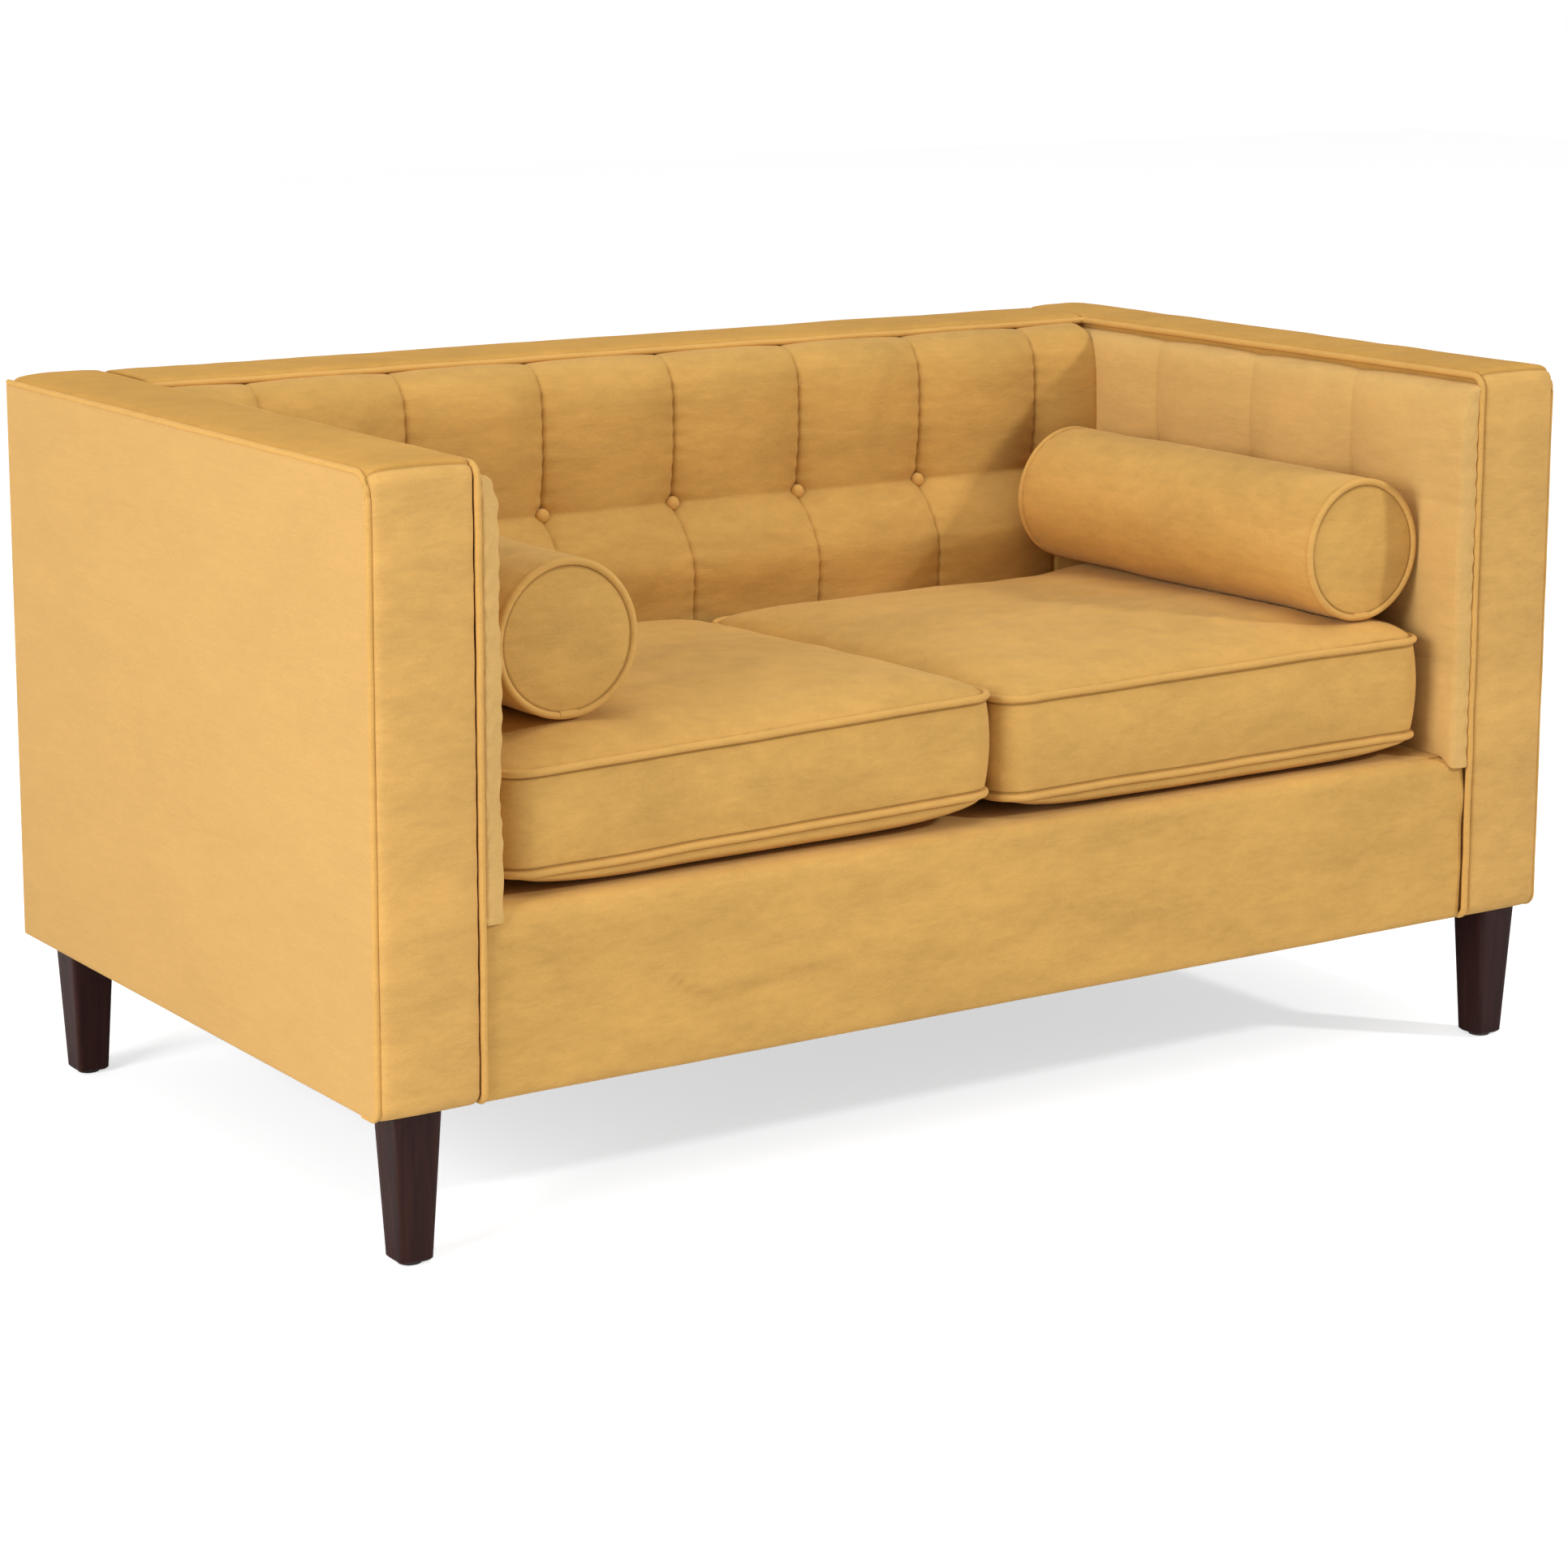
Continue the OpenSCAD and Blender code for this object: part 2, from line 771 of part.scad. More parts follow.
// Filling with a smaller neck at each end, inside the piping
module bolster_filling() {
    neck = piping_d + piping_gap + cloth_t;
    translate([0, 0, neck]) cylinder(r = bolster_r - cloth_t, h = bolster_l - 2 * neck, $fn = 96);
    translate([0, 0, cloth_t])
        cylinder(r = piping_seat - cloth_t, h = bolster_l - 2 * cloth_t, $fn = 96);
}

module bolster_core(side) {
    color(foam) at_bolster(side) bolster_filling();
}

module bolster_piping(side) {
    color(velvet) at_bolster(side) for (z = [piping_d / 2, bolster_l - piping_d / 2])
        translate([0, 0, z]) rotate_extrude($fn = 96)
            translate([bolster_r - piping_d / 2, 0]) circle(d = piping_d, $fn = 32);
}

// ------------------------------------------------------------------- assembly

front_rail();
back_rail();
side_rail(-1);  // side_rail_left
side_rail(1);  // side_rail_right
seat_stretcher();
corner_blocks();
leg_blocks();
arm_posts();
arm_boards();
arm_top_boards();
back_ribs();
back_top_board();
back_webbing();
seat_springs();
spring_clips();
seat_deck();
front_rail_cover();
dust_cover();
leg([-leg_x, leg_front_y]);  // leg_front_left
leg([leg_x, leg_front_y]);  // leg_front_right
leg([-leg_x, leg_back_y]);  // leg_back_left
leg([leg_x, leg_back_y]);  // leg_back_right
leg_plates();
hanger_bolts();
plate_screws();
glides();
arm_outer_cover(-1);  // arm_outer_cover_left
arm_outer_cover(1);  // arm_outer_cover_right
back_outer_cover();
arm_front_band(-1);  // arm_front_band_left
arm_front_band(1);  // arm_front_band_right
arm_cap(-1);  // arm_cap_left
arm_cap(1);  // arm_cap_right
back_cap();
arm_pad(-1);  // arm_pad_left
arm_pad(1);  // arm_pad_right
back_pad();
back_buttons();
arm_buttons();
button_twines();
inner_welt();
outer_welt();
seat_cushion_cover(-1);  // seat_cushion_cover_left
seat_cushion_cover(1);  // seat_cushion_cover_right
seat_cushion_core(-1);  // seat_cushion_core_left
seat_cushion_core(1);  // seat_cushion_core_right
seat_cushion_piping(-1);  // seat_cushion_piping_left
seat_cushion_piping(1);  // seat_cushion_piping_right
bolster_cover(-1);  // bolster_cover_left
bolster_cover(1);  // bolster_cover_right
bolster_core(-1);  // bolster_core_left
bolster_core(1);  // bolster_core_right
bolster_piping(-1);  // bolster_piping_left
bolster_piping(1);  // bolster_piping_right
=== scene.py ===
import math

import bpy
import numpy as np
from mathutils import Matrix, Vector


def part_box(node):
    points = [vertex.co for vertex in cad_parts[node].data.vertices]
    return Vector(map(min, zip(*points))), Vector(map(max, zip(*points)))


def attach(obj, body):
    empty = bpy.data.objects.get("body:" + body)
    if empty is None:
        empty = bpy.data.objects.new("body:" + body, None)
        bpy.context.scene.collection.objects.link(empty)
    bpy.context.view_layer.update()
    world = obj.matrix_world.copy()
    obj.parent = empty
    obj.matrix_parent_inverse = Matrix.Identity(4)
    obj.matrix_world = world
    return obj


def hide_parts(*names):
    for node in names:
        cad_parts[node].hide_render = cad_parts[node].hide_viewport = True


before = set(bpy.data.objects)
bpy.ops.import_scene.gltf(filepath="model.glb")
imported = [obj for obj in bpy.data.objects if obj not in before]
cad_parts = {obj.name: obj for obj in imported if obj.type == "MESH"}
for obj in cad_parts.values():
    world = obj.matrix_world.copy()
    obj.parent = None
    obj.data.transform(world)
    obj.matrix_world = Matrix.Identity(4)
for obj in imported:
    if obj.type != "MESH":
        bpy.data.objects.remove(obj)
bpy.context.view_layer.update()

scene = bpy.context.scene
MM = 0.001

# ---------------------------------------------------------------- camera

# The camera stands to the sitter's right of the sofa, a little above the arms
CAMERA_AT = (-2.452, -3.629, 1.312)
CAMERA_YAW, CAMERA_PITCH, CAMERA_ROLL = 33.90, 10.48, 0.14
CAMERA_LENS = 36 * 4793 / 1932
CAMERA_SHIFT = -0.10


def make_camera():
    """Turned to the right by yaw and down by pitch, with the roll about its own axis."""
    data = bpy.data.cameras.new("camera")
    data.sensor_width = 36
    data.lens = CAMERA_LENS
    data.shift_y = CAMERA_SHIFT
    cam = bpy.data.objects.new("camera", data)
    scene.collection.objects.link(cam)
    turn = (
        Matrix.Rotation(math.radians(-CAMERA_YAW), 4, "Z")
        @ Matrix.Rotation(math.radians(90 - CAMERA_PITCH), 4, "X")
        @ Matrix.Rotation(math.radians(CAMERA_ROLL), 4, "Z")
    )
    cam.matrix_world = Matrix.Translation(CAMERA_AT) @ turn
    scene.camera = cam


make_camera()

# ---------------------------------------------------------------- planes from the frame


def plane(node, corner, axis):
    """One coordinate of a CAD node's box, in metres; corner 0 is the low one."""
    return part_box(node)[corner]["xyz".index(axis)]


HALF_W = plane("arm_outer_cover_right", 1, "x")
FRONT = plane("arm_front_band_right", 0, "y")
BACK = plane("back_outer_cover", 1, "y")
TOP = plane("arm_cap_right", 1, "z")
BASE = plane("front_rail_cover", 0, "z")
ARM_IN = plane("arm_cap_right", 0, "x")
CORE_FRONT = plane("arm_front_band_right", 1, "y")
CORE_TOP = plane("arm_cap_right", 0, "z")
CORE_OUT = plane("arm_outer_cover_right", 0, "x")
CORE_BACK = plane("back_outer_cover", 0, "y")
BACK_IN = plane("back_cap", 0, "y")
DECK = plane("seat_deck", 1, "z")
PAD_IN = plane("arm_pad_right", 0, "x")
PAD_FRONT = plane("arm_pad_right", 0, "y")
PAD_NOSE = PAD_FRONT - 0.0150
RAIL_FACE = plane("front_rail_cover", 0, "y")
RAIL_BACK = plane("front_rail_cover", 1, "y")
CAP_H = TOP - CORE_TOP

BUTTON_R = (plane("back_buttons", 1, "z") - plane("back_buttons", 0, "z")) / 2
BUTTON_Z = plane("back_buttons", 0, "z") + BUTTON_R
BUTTON_FACE = plane("back_buttons", 1, "y")
ARM_BUTTON_Z = plane("arm_buttons", 0, "z") + BUTTON_R
COLUMNS = np.linspace(
    plane("back_buttons", 0, "x") + BUTTON_R, plane("back_buttons", 1, "x") - BUTTON_R, 7
)
ARM_COLUMNS = np.linspace(
    plane("arm_buttons", 0, "y") + BUTTON_R, plane("arm_buttons", 1, "y") - BUTTON_R, 3
)
PITCH = COLUMNS[1] - COLUMNS[0]

# ---------------------------------------------------------------- numpy tools

CORD_SIDES = 14
STRIP_ROWS = 45


def smooth(x, a, b):
    """0 below a, 1 above b, and 3t^2 - 2t^3 between them."""
    t = np.clip((x - a) / (b - a), 0, 1)
    return t * t * (3 - 2 * t)


def waves(a, b, size, seed, octaves=3):
    """Smooth cloth noise of about -1 to 1: a sum of sine waves at random angles, each octave half as long."""
    rng = np.random.default_rng(seed)
    total = np.zeros(np.broadcast(a, b).shape)
    for octave in range(octaves):
        for _ in range(5):
            angle, phase = rng.uniform(0, 2 * np.pi, 2)
            k = 2 * np.pi / size * 2**octave * rng.uniform(0.7, 1.3)
            total = total + np.sin(k * (a * np.cos(angle) + b * np.sin(angle)) + phase) / 2**octave
    return total / 5


def stations(a, b, step, fine_at=(), fine=0.0015, reach=0.010):
    """Places from a to b about step apart, and fine apart within reach of each place in fine_at."""
    parts = [np.linspace(a, b, max(2, int(round((b - a) / step)) + 1))]
    for c in fine_at:
        parts.append(np.arange(c - reach, c + reach + fine / 2, fine))
    x = np.unique(np.round(np.concatenate(parts), 6))
    x = x[(x >= a) & (x <= b)]
    keep = np.concatenate([[True], np.diff(x) > fine * 0.45])
    return x[keep]


def stack(*parts):
    """Coordinate arrays of any broadcastable shapes as one array of points."""
    return np.stack(np.broadcast_arrays(*parts), axis=-1)


def signed_volume(verts, faces):
    """Sum of the signed tetrahedra from the origin to each face's fan of triangles."""
    total = 0.0
    for k in range(1, faces.shape[1] - 1):
        a, b, c = verts[faces[:, 0]], verts[faces[:, k]], verts[faces[:, k + 1]]
        total += np.einsum("ij,ij->i", a, np.cross(b, c)).sum() / 6
    return total


def surface(points, wrap_u=False, wrap_v=True):
    """Vertices and faces of a grid of points: quads between neighbours, rows closed round when wrapped.
    An open end of closed rows is filled with a fan to its middle."""
    nu, nv = points.shape[:2]
    verts = points.reshape(-1, 3)
    u = np.arange(nu if wrap_u else nu - 1)[:, None]
    v = np.arange(nv if wrap_v else nv - 1)[None, :]
    u2, v2 = (u + 1) % nu, (v + 1) % nv
    quads = np.stack(np.broadcast_arrays(u * nv + v, u2 * nv + v, u2 * nv + v2, u * nv + v2), -1)
    faces = [quads.reshape(-1, 4)]
    if not wrap_u and wrap_v:
        ring = np.arange(nv)
        for row, order in ((0, 1), (nu - 1, -1)):
            middle = points[row].mean(axis=0, keepdims=True)
            centre = len(verts)
            verts = np.vstack([verts, middle])
            a, b = row * nv + ring, row * nv + (ring + 1) % nv
            fan = np.stack([np.full(nv, centre), b, a] if order > 0 else [np.full(nv, centre), a, b], -1)
            faces.append(fan[:, [0, 1, 2, 2]])
    return verts, np.vstack(faces)


def join(*shapes):
    """Several (vertices, faces) as one."""
    verts, faces, start = [], [], 0
    for v, f in shapes:
        verts.append(v)
        faces.append(f + start)
        start += len(v)
    return np.vstack(verts), np.vstack(faces)


def piece(name, shape, body, material, nodes=(), sharp=50, fields=None):
    """A mesh piece from (vertices, faces) that points outwards, rides on a body and stands for CAD nodes."""
    verts, faces = shape
    if signed_volume(verts, faces) < 0:
        faces = faces[:, ::-1]
    listed = [list(dict.fromkeys(f)) for f in faces.tolist()]
    mesh = bpy.data.meshes.new(name)
    mesh.from_pydata(verts.tolist(), [], [f for f in listed if len(f) > 2])
    mesh.update()
    mesh.polygons.foreach_set("use_smooth", np.ones(len(mesh.polygons), bool))
    mesh.set_sharp_from_angle(angle=math.radians(sharp))
    for field, values in (fields or {}).items():
        layer = mesh.attributes.new(field, "FLOAT", "POINT")
        full = np.zeros(len(verts), np.float32)
        full[: values.size] = values.ravel()
        layer.data.foreach_set("value", full)
    mesh.validate()
    ob = bpy.data.objects.new(name, mesh)
    scene.collection.objects.link(ob)
    mesh.materials.append(material)
    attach(ob, body)
    if nodes:
        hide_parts(*nodes)
    return ob


def rounded_path(corners, radii, step):
    """Points along straight runs between corners, each corner rounded by an arc of its radius."""
    pts = [np.array(c, float) for c in corners]
    out = [pts[0]]
    for i in range(1, len(pts) - 1):
        a, b, c, r = pts[i - 1], pts[i], pts[i + 1], radii[i - 1]
        u = (a - b) / np.linalg.norm(a - b)
        w = (c - b) / np.linalg.norm(c - b)
        half = math.acos(np.clip(u @ w, -1, 1)) / 2
        cut = r / math.tan(half)
        centre = b + (u + w) / np.linalg.norm(u + w) * r / math.sin(half)
        p, q = b + u * cut, b + w * cut
        turn = math.pi - 2 * half
        n = max(4, int(turn / 0.2))
        t = np.linspace(0, 1, n + 1)[:, None]
        arc = (np.sin((1 - t) * turn) * (p - centre) + np.sin(t * turn) * (q - centre)) / math.sin(turn)
        out.extend(centre + arc)
    out.append(pts[-1])
    dense = [out[0]]
    for a, b in zip(out, out[1:]):
        n = max(1, int(np.linalg.norm(b - a) / step))
        dense.extend(a + (b - a) * k / n for k in range(1, n + 1))
    return np.array(dense)


def tube(path, radius, closed=False, around=CORD_SIDES, up=(0, 0, 1)):
    """A round cord along a path: at each point a circle across the path's direction."""
    path = np.asarray(path, float)
    if closed:
        step = np.roll(path, -1, 0) - np.roll(path, 1, 0)
    else:
        step = np.gradient(path, axis=0)
    along = step / np.linalg.norm(step, axis=1, keepdims=True)
    side = np.cross(along, np.array(up, float))
    weak = np.linalg.norm(side, axis=1) < 0.2
    side[weak] = np.cross(along[weak], [1.0, 0.0, 0.0])
    side /= np.linalg.norm(side, axis=1, keepdims=True)
    over = np.cross(side, along)
    a = np.arange(around) * 2 * np.pi / around
    ring = side[:, None] * np.cos(a)[None, :, None] + over[:, None] * np.sin(a)[None, :, None]
    return surface(path[:, None] + ring * radius, wrap_u=closed)


# ---------------------------------------------------------------- materials


def add(tree, kind, inputs=None, **settings):
    """A shader node with its settings, and its inputs set to numbers or linked from other sockets."""
    node = tree.nodes.new(kind)
    for key, value in settings.items():
        setattr(node, key, value)
    for key, value in (inputs or {}).items():
        if isinstance(value, bpy.types.NodeSocket):
            tree.links.new(value, node.inputs[key])
        else:
            node.inputs[key].default_value = value
    return node


def noise(tree, vector, scale, detail=2.0, rough=0.5, distortion=0.0):
    """Noise of about -1 to 1 on a vector."""
    n = add(
        tree, "ShaderNodeTexNoise",
        {"Vector": vector, "Scale": scale, "Detail": detail, "Roughness": rough, "Distortion": distortion},
    )
    ramp = add(tree, "ShaderNodeMapRange", {0: n.outputs["Fac"], 1: 0.32, 2: 0.68, 3: -1.0, 4: 1.0})
    return ramp.outputs[0]


def maths(tree, operation, a, b=0.0, c=0.0):
    """One Math node."""
    return add(tree, "ShaderNodeMath", {0: a, 1: b, 2: c}, operation=operation).outputs[0]


def mix(tree, factor, a, b):
    """One colour Mix node."""
    return add(tree, "ShaderNodeMix", {0: factor, 6: a, 7: b}, data_type="RGBA").outputs[2]


def group(name, inputs, outputs):
    """An empty node group with named sockets; returns the tree, its inputs and its output node."""
    tree = bpy.data.node_groups.new(name, "ShaderNodeTree")
    kinds = {"c": "NodeSocketColor", "f": "NodeSocketFloat", "v": "NodeSocketVector"}
    for label, kind in inputs:
        tree.interface.new_socket(label, in_out="INPUT", socket_type=kinds[kind])
    for label, kind in outputs:
        tree.interface.new_socket(label, in_out="OUTPUT", socket_type=kinds[kind])
    return tree, tree.nodes.new("NodeGroupInput").outputs, tree.nodes.new("NodeGroupOutput")


def make_velvet_nap_with_shade():
    """Brushed pile. The colour is lightened and darkened by long soft patches, by shorter brushed streaks and
    by the pile itself, and turns to the dark colour where the shade input is 1: painted shade in creases,
    seams and button pits, and the brushed smears of the back pad. The normal carries pile and brushed
    streaks."""
    tree, given, out = group(
        "velvet nap with painted shade",
        [("Colour", "c"), ("Fold colour", "c"), ("Shade and marks", "f"), ("Patches", "f"), ("Marks", "f")],
        [("Colour", "c"), ("Roughness", "f"), ("Normal", "v")],
    )
    place = add(tree, "ShaderNodeTexCoord").outputs["Object"]
    drawn = add(tree, "ShaderNodeMapping", {"Vector": place, "Scale": (0.75, 0.75, 1.9)}).outputs[0]
    weft = add(tree, "ShaderNodeMapping", {"Vector": place, "Scale": (0.06, 0.06, 1.0)}).outputs[0]
    patches = noise(tree, drawn, 7.5, 9.0, 0.72, 0.2)
    nap_marks_and_crease_shade = noise(tree, drawn, 42.0, 6.0, 0.66, 0.4)
    threads = noise(tree, weft, 420.0, 1.0)
    pile = noise(tree, place, 620.0, 2.0)
    shade = maths(tree, "MULTIPLY_ADD", patches, given["Patches"], 1.0)
    shade = maths(tree, "MULTIPLY_ADD", nap_marks_and_crease_shade, given["Marks"], shade)
    shade = maths(tree, "MULTIPLY_ADD", threads, 0.012, shade)
    shade = maths(tree, "MULTIPLY_ADD", pile, 0.030, shade)
    nap = add(tree, "ShaderNodeVectorMath", {0: given["Colour"], "Scale": shade}, operation="SCALE").outputs[
        0
    ]
    # Painted shade: this mask darkens creases, seams and pits, and also carries the back pad's brushed
    # smears.
    shade_and_brush_marks = add(
        tree, "ShaderNodeMath", {0: given["Shade and marks"], 1: 1.0}, operation="MULTIPLY", use_clamp=True
    ).outputs[0]
    tree.links.new(mix(tree, shade_and_brush_marks, nap, given["Fold colour"]), out.inputs["Colour"])
    tree.links.new(maths(tree, "MULTIPLY_ADD", nap_marks_and_crease_shade, 0.05, 0.84), out.inputs["Roughness"])
    height = maths(tree, "MULTIPLY_ADD", nap_marks_and_crease_shade, 0.8, maths(tree, "MULTIPLY", pile, 0.25))
    bump = add(tree, "ShaderNodeBump", {"Height": height, "Strength": 0.35, "Distance": 0.0007})
    tree.links.new(bump.outputs[0], out.inputs["Normal"])
    return tree


def make_wood_grain():
    """Long fibres along one direction: stretched noise, and slower noise for the bands of growth."""
    tree, given, out = group(
        "wood grain",
        [("Light", "c"), ("Dark", "c"), ("Stretch", "v")],
        [("Colour", "c"), ("Height", "f")],
    )
    place = add(tree, "ShaderNodeTexCoord").outputs["Object"]
    along = add(tree, "ShaderNodeMapping", {"Vector": place, "Scale": given["Stretch"]}).outputs[0]
    fibres = noise(tree, along, 260.0, 4.0, 0.65, 0.4)
    bands = noise(tree, along, 38.0, 2.0, 0.5, 1.2)
    both = maths(tree, "MULTIPLY_ADD", fibres, 0.3, maths(tree, "MULTIPLY_ADD", bands, 0.35, 0.5))
    tree.links.new(mix(tree, both, given["Dark"], given["Light"]), out.inputs["Colour"])
    tree.links.new(fibres, out.inputs["Height"])
    return tree


def make_woven_cloth():
    """Plain weave: warp and weft waves in turn, with slower noise for uneven threads."""
    tree, given, out = group(
        "woven cloth", [("Colour", "c"), ("Threads", "f")], [("Colour", "c"), ("Height", "f")]
    )
    place = add(tree, "ShaderNodeTexCoord").outputs["Object"]
    parts = add(tree, "ShaderNodeSeparateXYZ", {"Vector": place}).outputs
    across = maths(
        tree, "MULTIPLY", maths(tree, "ADD", parts[0], maths(tree, "MULTIPLY", parts[2], 0.61)),
        given["Threads"]
    )
    along = maths(
        tree, "MULTIPLY", maths(tree, "ADD", parts[1], maths(tree, "MULTIPLY", parts[2], 0.79)),
        given["Threads"]
    )
    weave = maths(tree, "MULTIPLY", maths(tree, "SINE", across), maths(tree, "SINE", along))
    uneven = noise(tree, place, 60.0, 3.0)
    shade = maths(tree, "MULTIPLY_ADD", weave, 0.10, maths(tree, "MULTIPLY_ADD", uneven, 0.08, 1.0))
    cloth = add(
        tree, "ShaderNodeVectorMath", {0: given["Colour"], "Scale": shade}, operation="SCALE"
    ).outputs[0]
    tree.links.new(cloth, out.inputs["Colour"])
    tree.links.new(weave, out.inputs["Height"])
    return tree


def make_surface_wear():
    """Uneven finish of a plain hard or foamed surface: cloudy noise and small specks."""
    tree, given, out = group(
        "surface wear", [("Colour", "c"), ("Worn", "c"), ("Grain", "f")], [("Colour", "c"), ("Height", "f")]
    )
    place = add(tree, "ShaderNodeTexCoord").outputs["Object"]
    clouds = noise(tree, place, 30.0, 3.0)
    specks = noise(tree, place, given["Grain"], 2.0)
    both = maths(tree, "MULTIPLY_ADD", clouds, 0.25, maths(tree, "MULTIPLY_ADD", specks, 0.15, 0.4))
    tree.links.new(mix(tree, both, given["Colour"], given["Worn"]), out.inputs["Colour"])
    tree.links.new(specks, out.inputs["Height"])
    return tree


VELVET_NAP_WITH_SHADE = make_velvet_nap_with_shade()
WOOD_GRAIN = make_wood_grain()
WOVEN_CLOTH = make_woven_cloth()
SURFACE_WEAR = make_surface_wear()


def material(name, effect, values, bump=None, **finish):
    """A Principled material fed by one of the node groups; finish sets numbers on the shader's sockets."""
    made = bpy.data.materials.new(name)
    made.use_nodes = True
    tree = made.node_tree
    shader = tree.nodes["Principled BSDF"]
    for key, value in finish.items():
        shader.inputs[key.replace("_", " ")].default_value = value
    node = add(tree, "ShaderNodeGroup", node_tree=effect)
    for key, value in values.items():
        node.inputs[key].default_value = value
    tree.links.new(node.outputs["Colour"], shader.inputs["Base Color"])
    if effect is VELVET_NAP_WITH_SHADE:
        # Shade attribute on each piece: painted shade in its creases, seams and pits, plus brushed smears on
        # the back pad.
        shade_and_brush_marks = add(tree, "ShaderNodeAttribute", attribute_name="shade_and_brush_marks")
        tree.links.new(shade_and_brush_marks.outputs["Fac"], node.inputs["Shade and marks"])
        tree.links.new(node.outputs["Roughness"], shader.inputs["Roughness"])
        tree.links.new(node.outputs["Normal"], shader.inputs["Normal"])
    else:
        height = add(
            tree, "ShaderNodeBump",
            {"Height": node.outputs["Height"], "Strength": bump[0], "Distance": bump[1]}
        )
        tree.links.new(height.outputs[0], shader.inputs["Normal"])
    return made


VELVET_COLOUR = (0.62, 0.356, 0.101, 1)
# Dark colour mixed in by the shade attribute: painted shade in creases, seams and pits, also used for the
# brushed smears.
VELVET_SHADE_AND_MARK_COLOUR = (0.17, 0.080, 0.016, 1)
VELVET_SHEEN = {"Sheen_Roughness": 0.42, "Sheen_Tint": (1.0, 0.80, 0.50, 1), "Specular_IOR_Level": 0.02}


def velvet(name, patches, nap_marks_and_crease_shade, colour=VELVET_COLOUR, sheen=0.17):
    """A velvet whose nap is brushed more or less. The colour given to each copy below is painted light and
    shade: each part's tone is set lighter, darker or paler for the light that falls on it.
    """
    values = {"Colour": colour, "Fold colour": VELVET_SHADE_AND_MARK_COLOUR, "Patches": patches, "Marks": nap_marks_and_crease_shade}
    return material(name, VELVET_NAP_WITH_SHADE, values, Sheen_Weight=sheen, **VELVET_SHEEN)


# Lit and shaded copies of the one velvet: the cap and back copies are painted darker as shade; the arm, band
# and cord copies are painted lighter, and the smooth copy for the outer panels paler, as light.
velvet_brushed = velvet("velvet brushed", 0.11, 0.055)
velvet_smooth_lit = velvet("velvet smooth lit", 0.030, 0.014, (0.61, 0.360, 0.122, 1))
velvet_band_lit = velvet("velvet band lit", 0.10, 0.060, (0.65, 0.376, 0.114, 1))
velvet_cap_shaded = velvet("velvet cap shaded", 0.08, 0.045, (0.57, 0.312, 0.078, 1), sheen=0.03)
velvet_back_shaded = velvet("velvet back shaded", 0.11, 0.055, (0.565, 0.324, 0.090, 1))
velvet_arm_lit = velvet("velvet arm lit", 0.07, 0.040, (0.65, 0.400, 0.138, 1))
velvet_cord_lit = velvet("velvet cord lit", 0.04, 0.04, (0.65, 0.370, 0.106, 1))
dark_wood = material(
    "dark wood", WOOD_GRAIN,
    {"Light": (0.036, 0.010, 0.007, 1), "Dark": (0.015, 0.004, 0.003, 1), "Stretch": (1.0, 1.0, 0.045)},
    bump=(0.25, 0.0004), Roughness=0.42, Specular_IOR_Level=0.16, Coat_Weight=0.03, Coat_Roughness=0.25,
)
pine = material(
    "pine", WOOD_GRAIN,
    {"Light": (0.66, 0.46, 0.25, 1), "Dark": (0.48, 0.29, 0.13, 1), "Stretch": (0.05, 1.0, 1.0)},
    bump=(0.3, 0.0004), Roughness=0.66,
)
birch_ply = material(
    "birch plywood", WOOD_GRAIN,
    {"Light": (0.70, 0.52, 0.32, 1), "Dark": (0.56, 0.38, 0.20, 1), "Stretch": (1.0, 0.06, 1.0)},
    bump=(0.2, 0.0003), Roughness=0.6,
)
zinc = material(
    "zinc plate", SURFACE_WEAR,
    {"Colour": (0.50, 0.50, 0.50, 1), "Worn": (0.66, 0.65, 0.62, 1), "Grain": 500.0},
    bump=(0.1, 0.0002), Roughness=0.38, Metallic=1.0,
)
spring_wire = material(
    "spring wire", SURFACE_WEAR,
    {"Colour": (0.22, 0.21, 0.20, 1), "Worn": (0.40, 0.38, 0.35, 1), "Grain": 700.0},
    bump=(0.1, 0.0002), Roughness=0.34, Metallic=1.0,
)
glide_nylon = material(
    "glide nylon", SURFACE_WEAR,
    {"Colour": (0.035, 0.034, 0.032, 1), "Worn": (0.075, 0.072, 0.068, 1), "Grain": 400.0},
    bump=(0.15, 0.0002), Roughness=0.5,
)
deck_cloth = material(
    "deck cloth", WOVEN_CLOTH, {"Colour": (0.46, 0.29, 0.12, 1), "Threads": 3600.0},
    bump=(0.3, 0.0003), Roughness=0.9,
)
dust_cloth = material(
    "dust cloth", WOVEN_CLOTH, {"Colour": (0.035, 0.034, 0.034, 1), "Threads": 4200.0},
    bump=(0.3, 0.0003), Roughness=0.92,
)
webbing = material(
    "webbing", WOVEN_CLOTH, {"Colour": (0.42, 0.33, 0.20, 1), "Threads": 2600.0},
    bump=(0.4, 0.0005), Roughness=0.88,
)
twine = material(
    "twine", WOVEN_CLOTH, {"Colour": (0.62, 0.55, 0.42, 1), "Threads": 5200.0},
    bump=(0.4, 0.0004), Roughness=0.85,
)

CARRIED = {
    pine: ["front_rail", "back_rail", "side_rail_left", "side_rail_right", "seat_stretcher", "corner_blocks",
           "leg_blocks", "arm_posts"],
    birch_ply: ["arm_boards", "arm_top_boards", "back_ribs", "back_top_board"],
    zinc: ["leg_plates", "hanger_bolts", "plate_screws", "spring_clips"],
    spring_wire: ["seat_springs"],
    glide_nylon: ["glides"],
    dust_cloth: ["dust_cover"],
    webbing: ["back_webbing"],
    twine: ["button_twines"],
}
for finish, names in CARRIED.items():
    for name in names:
        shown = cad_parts[name]
        shown.data.materials.clear()
        shown.data.materials.append(finish)

# ---------------------------------------------------------------- tufted pads


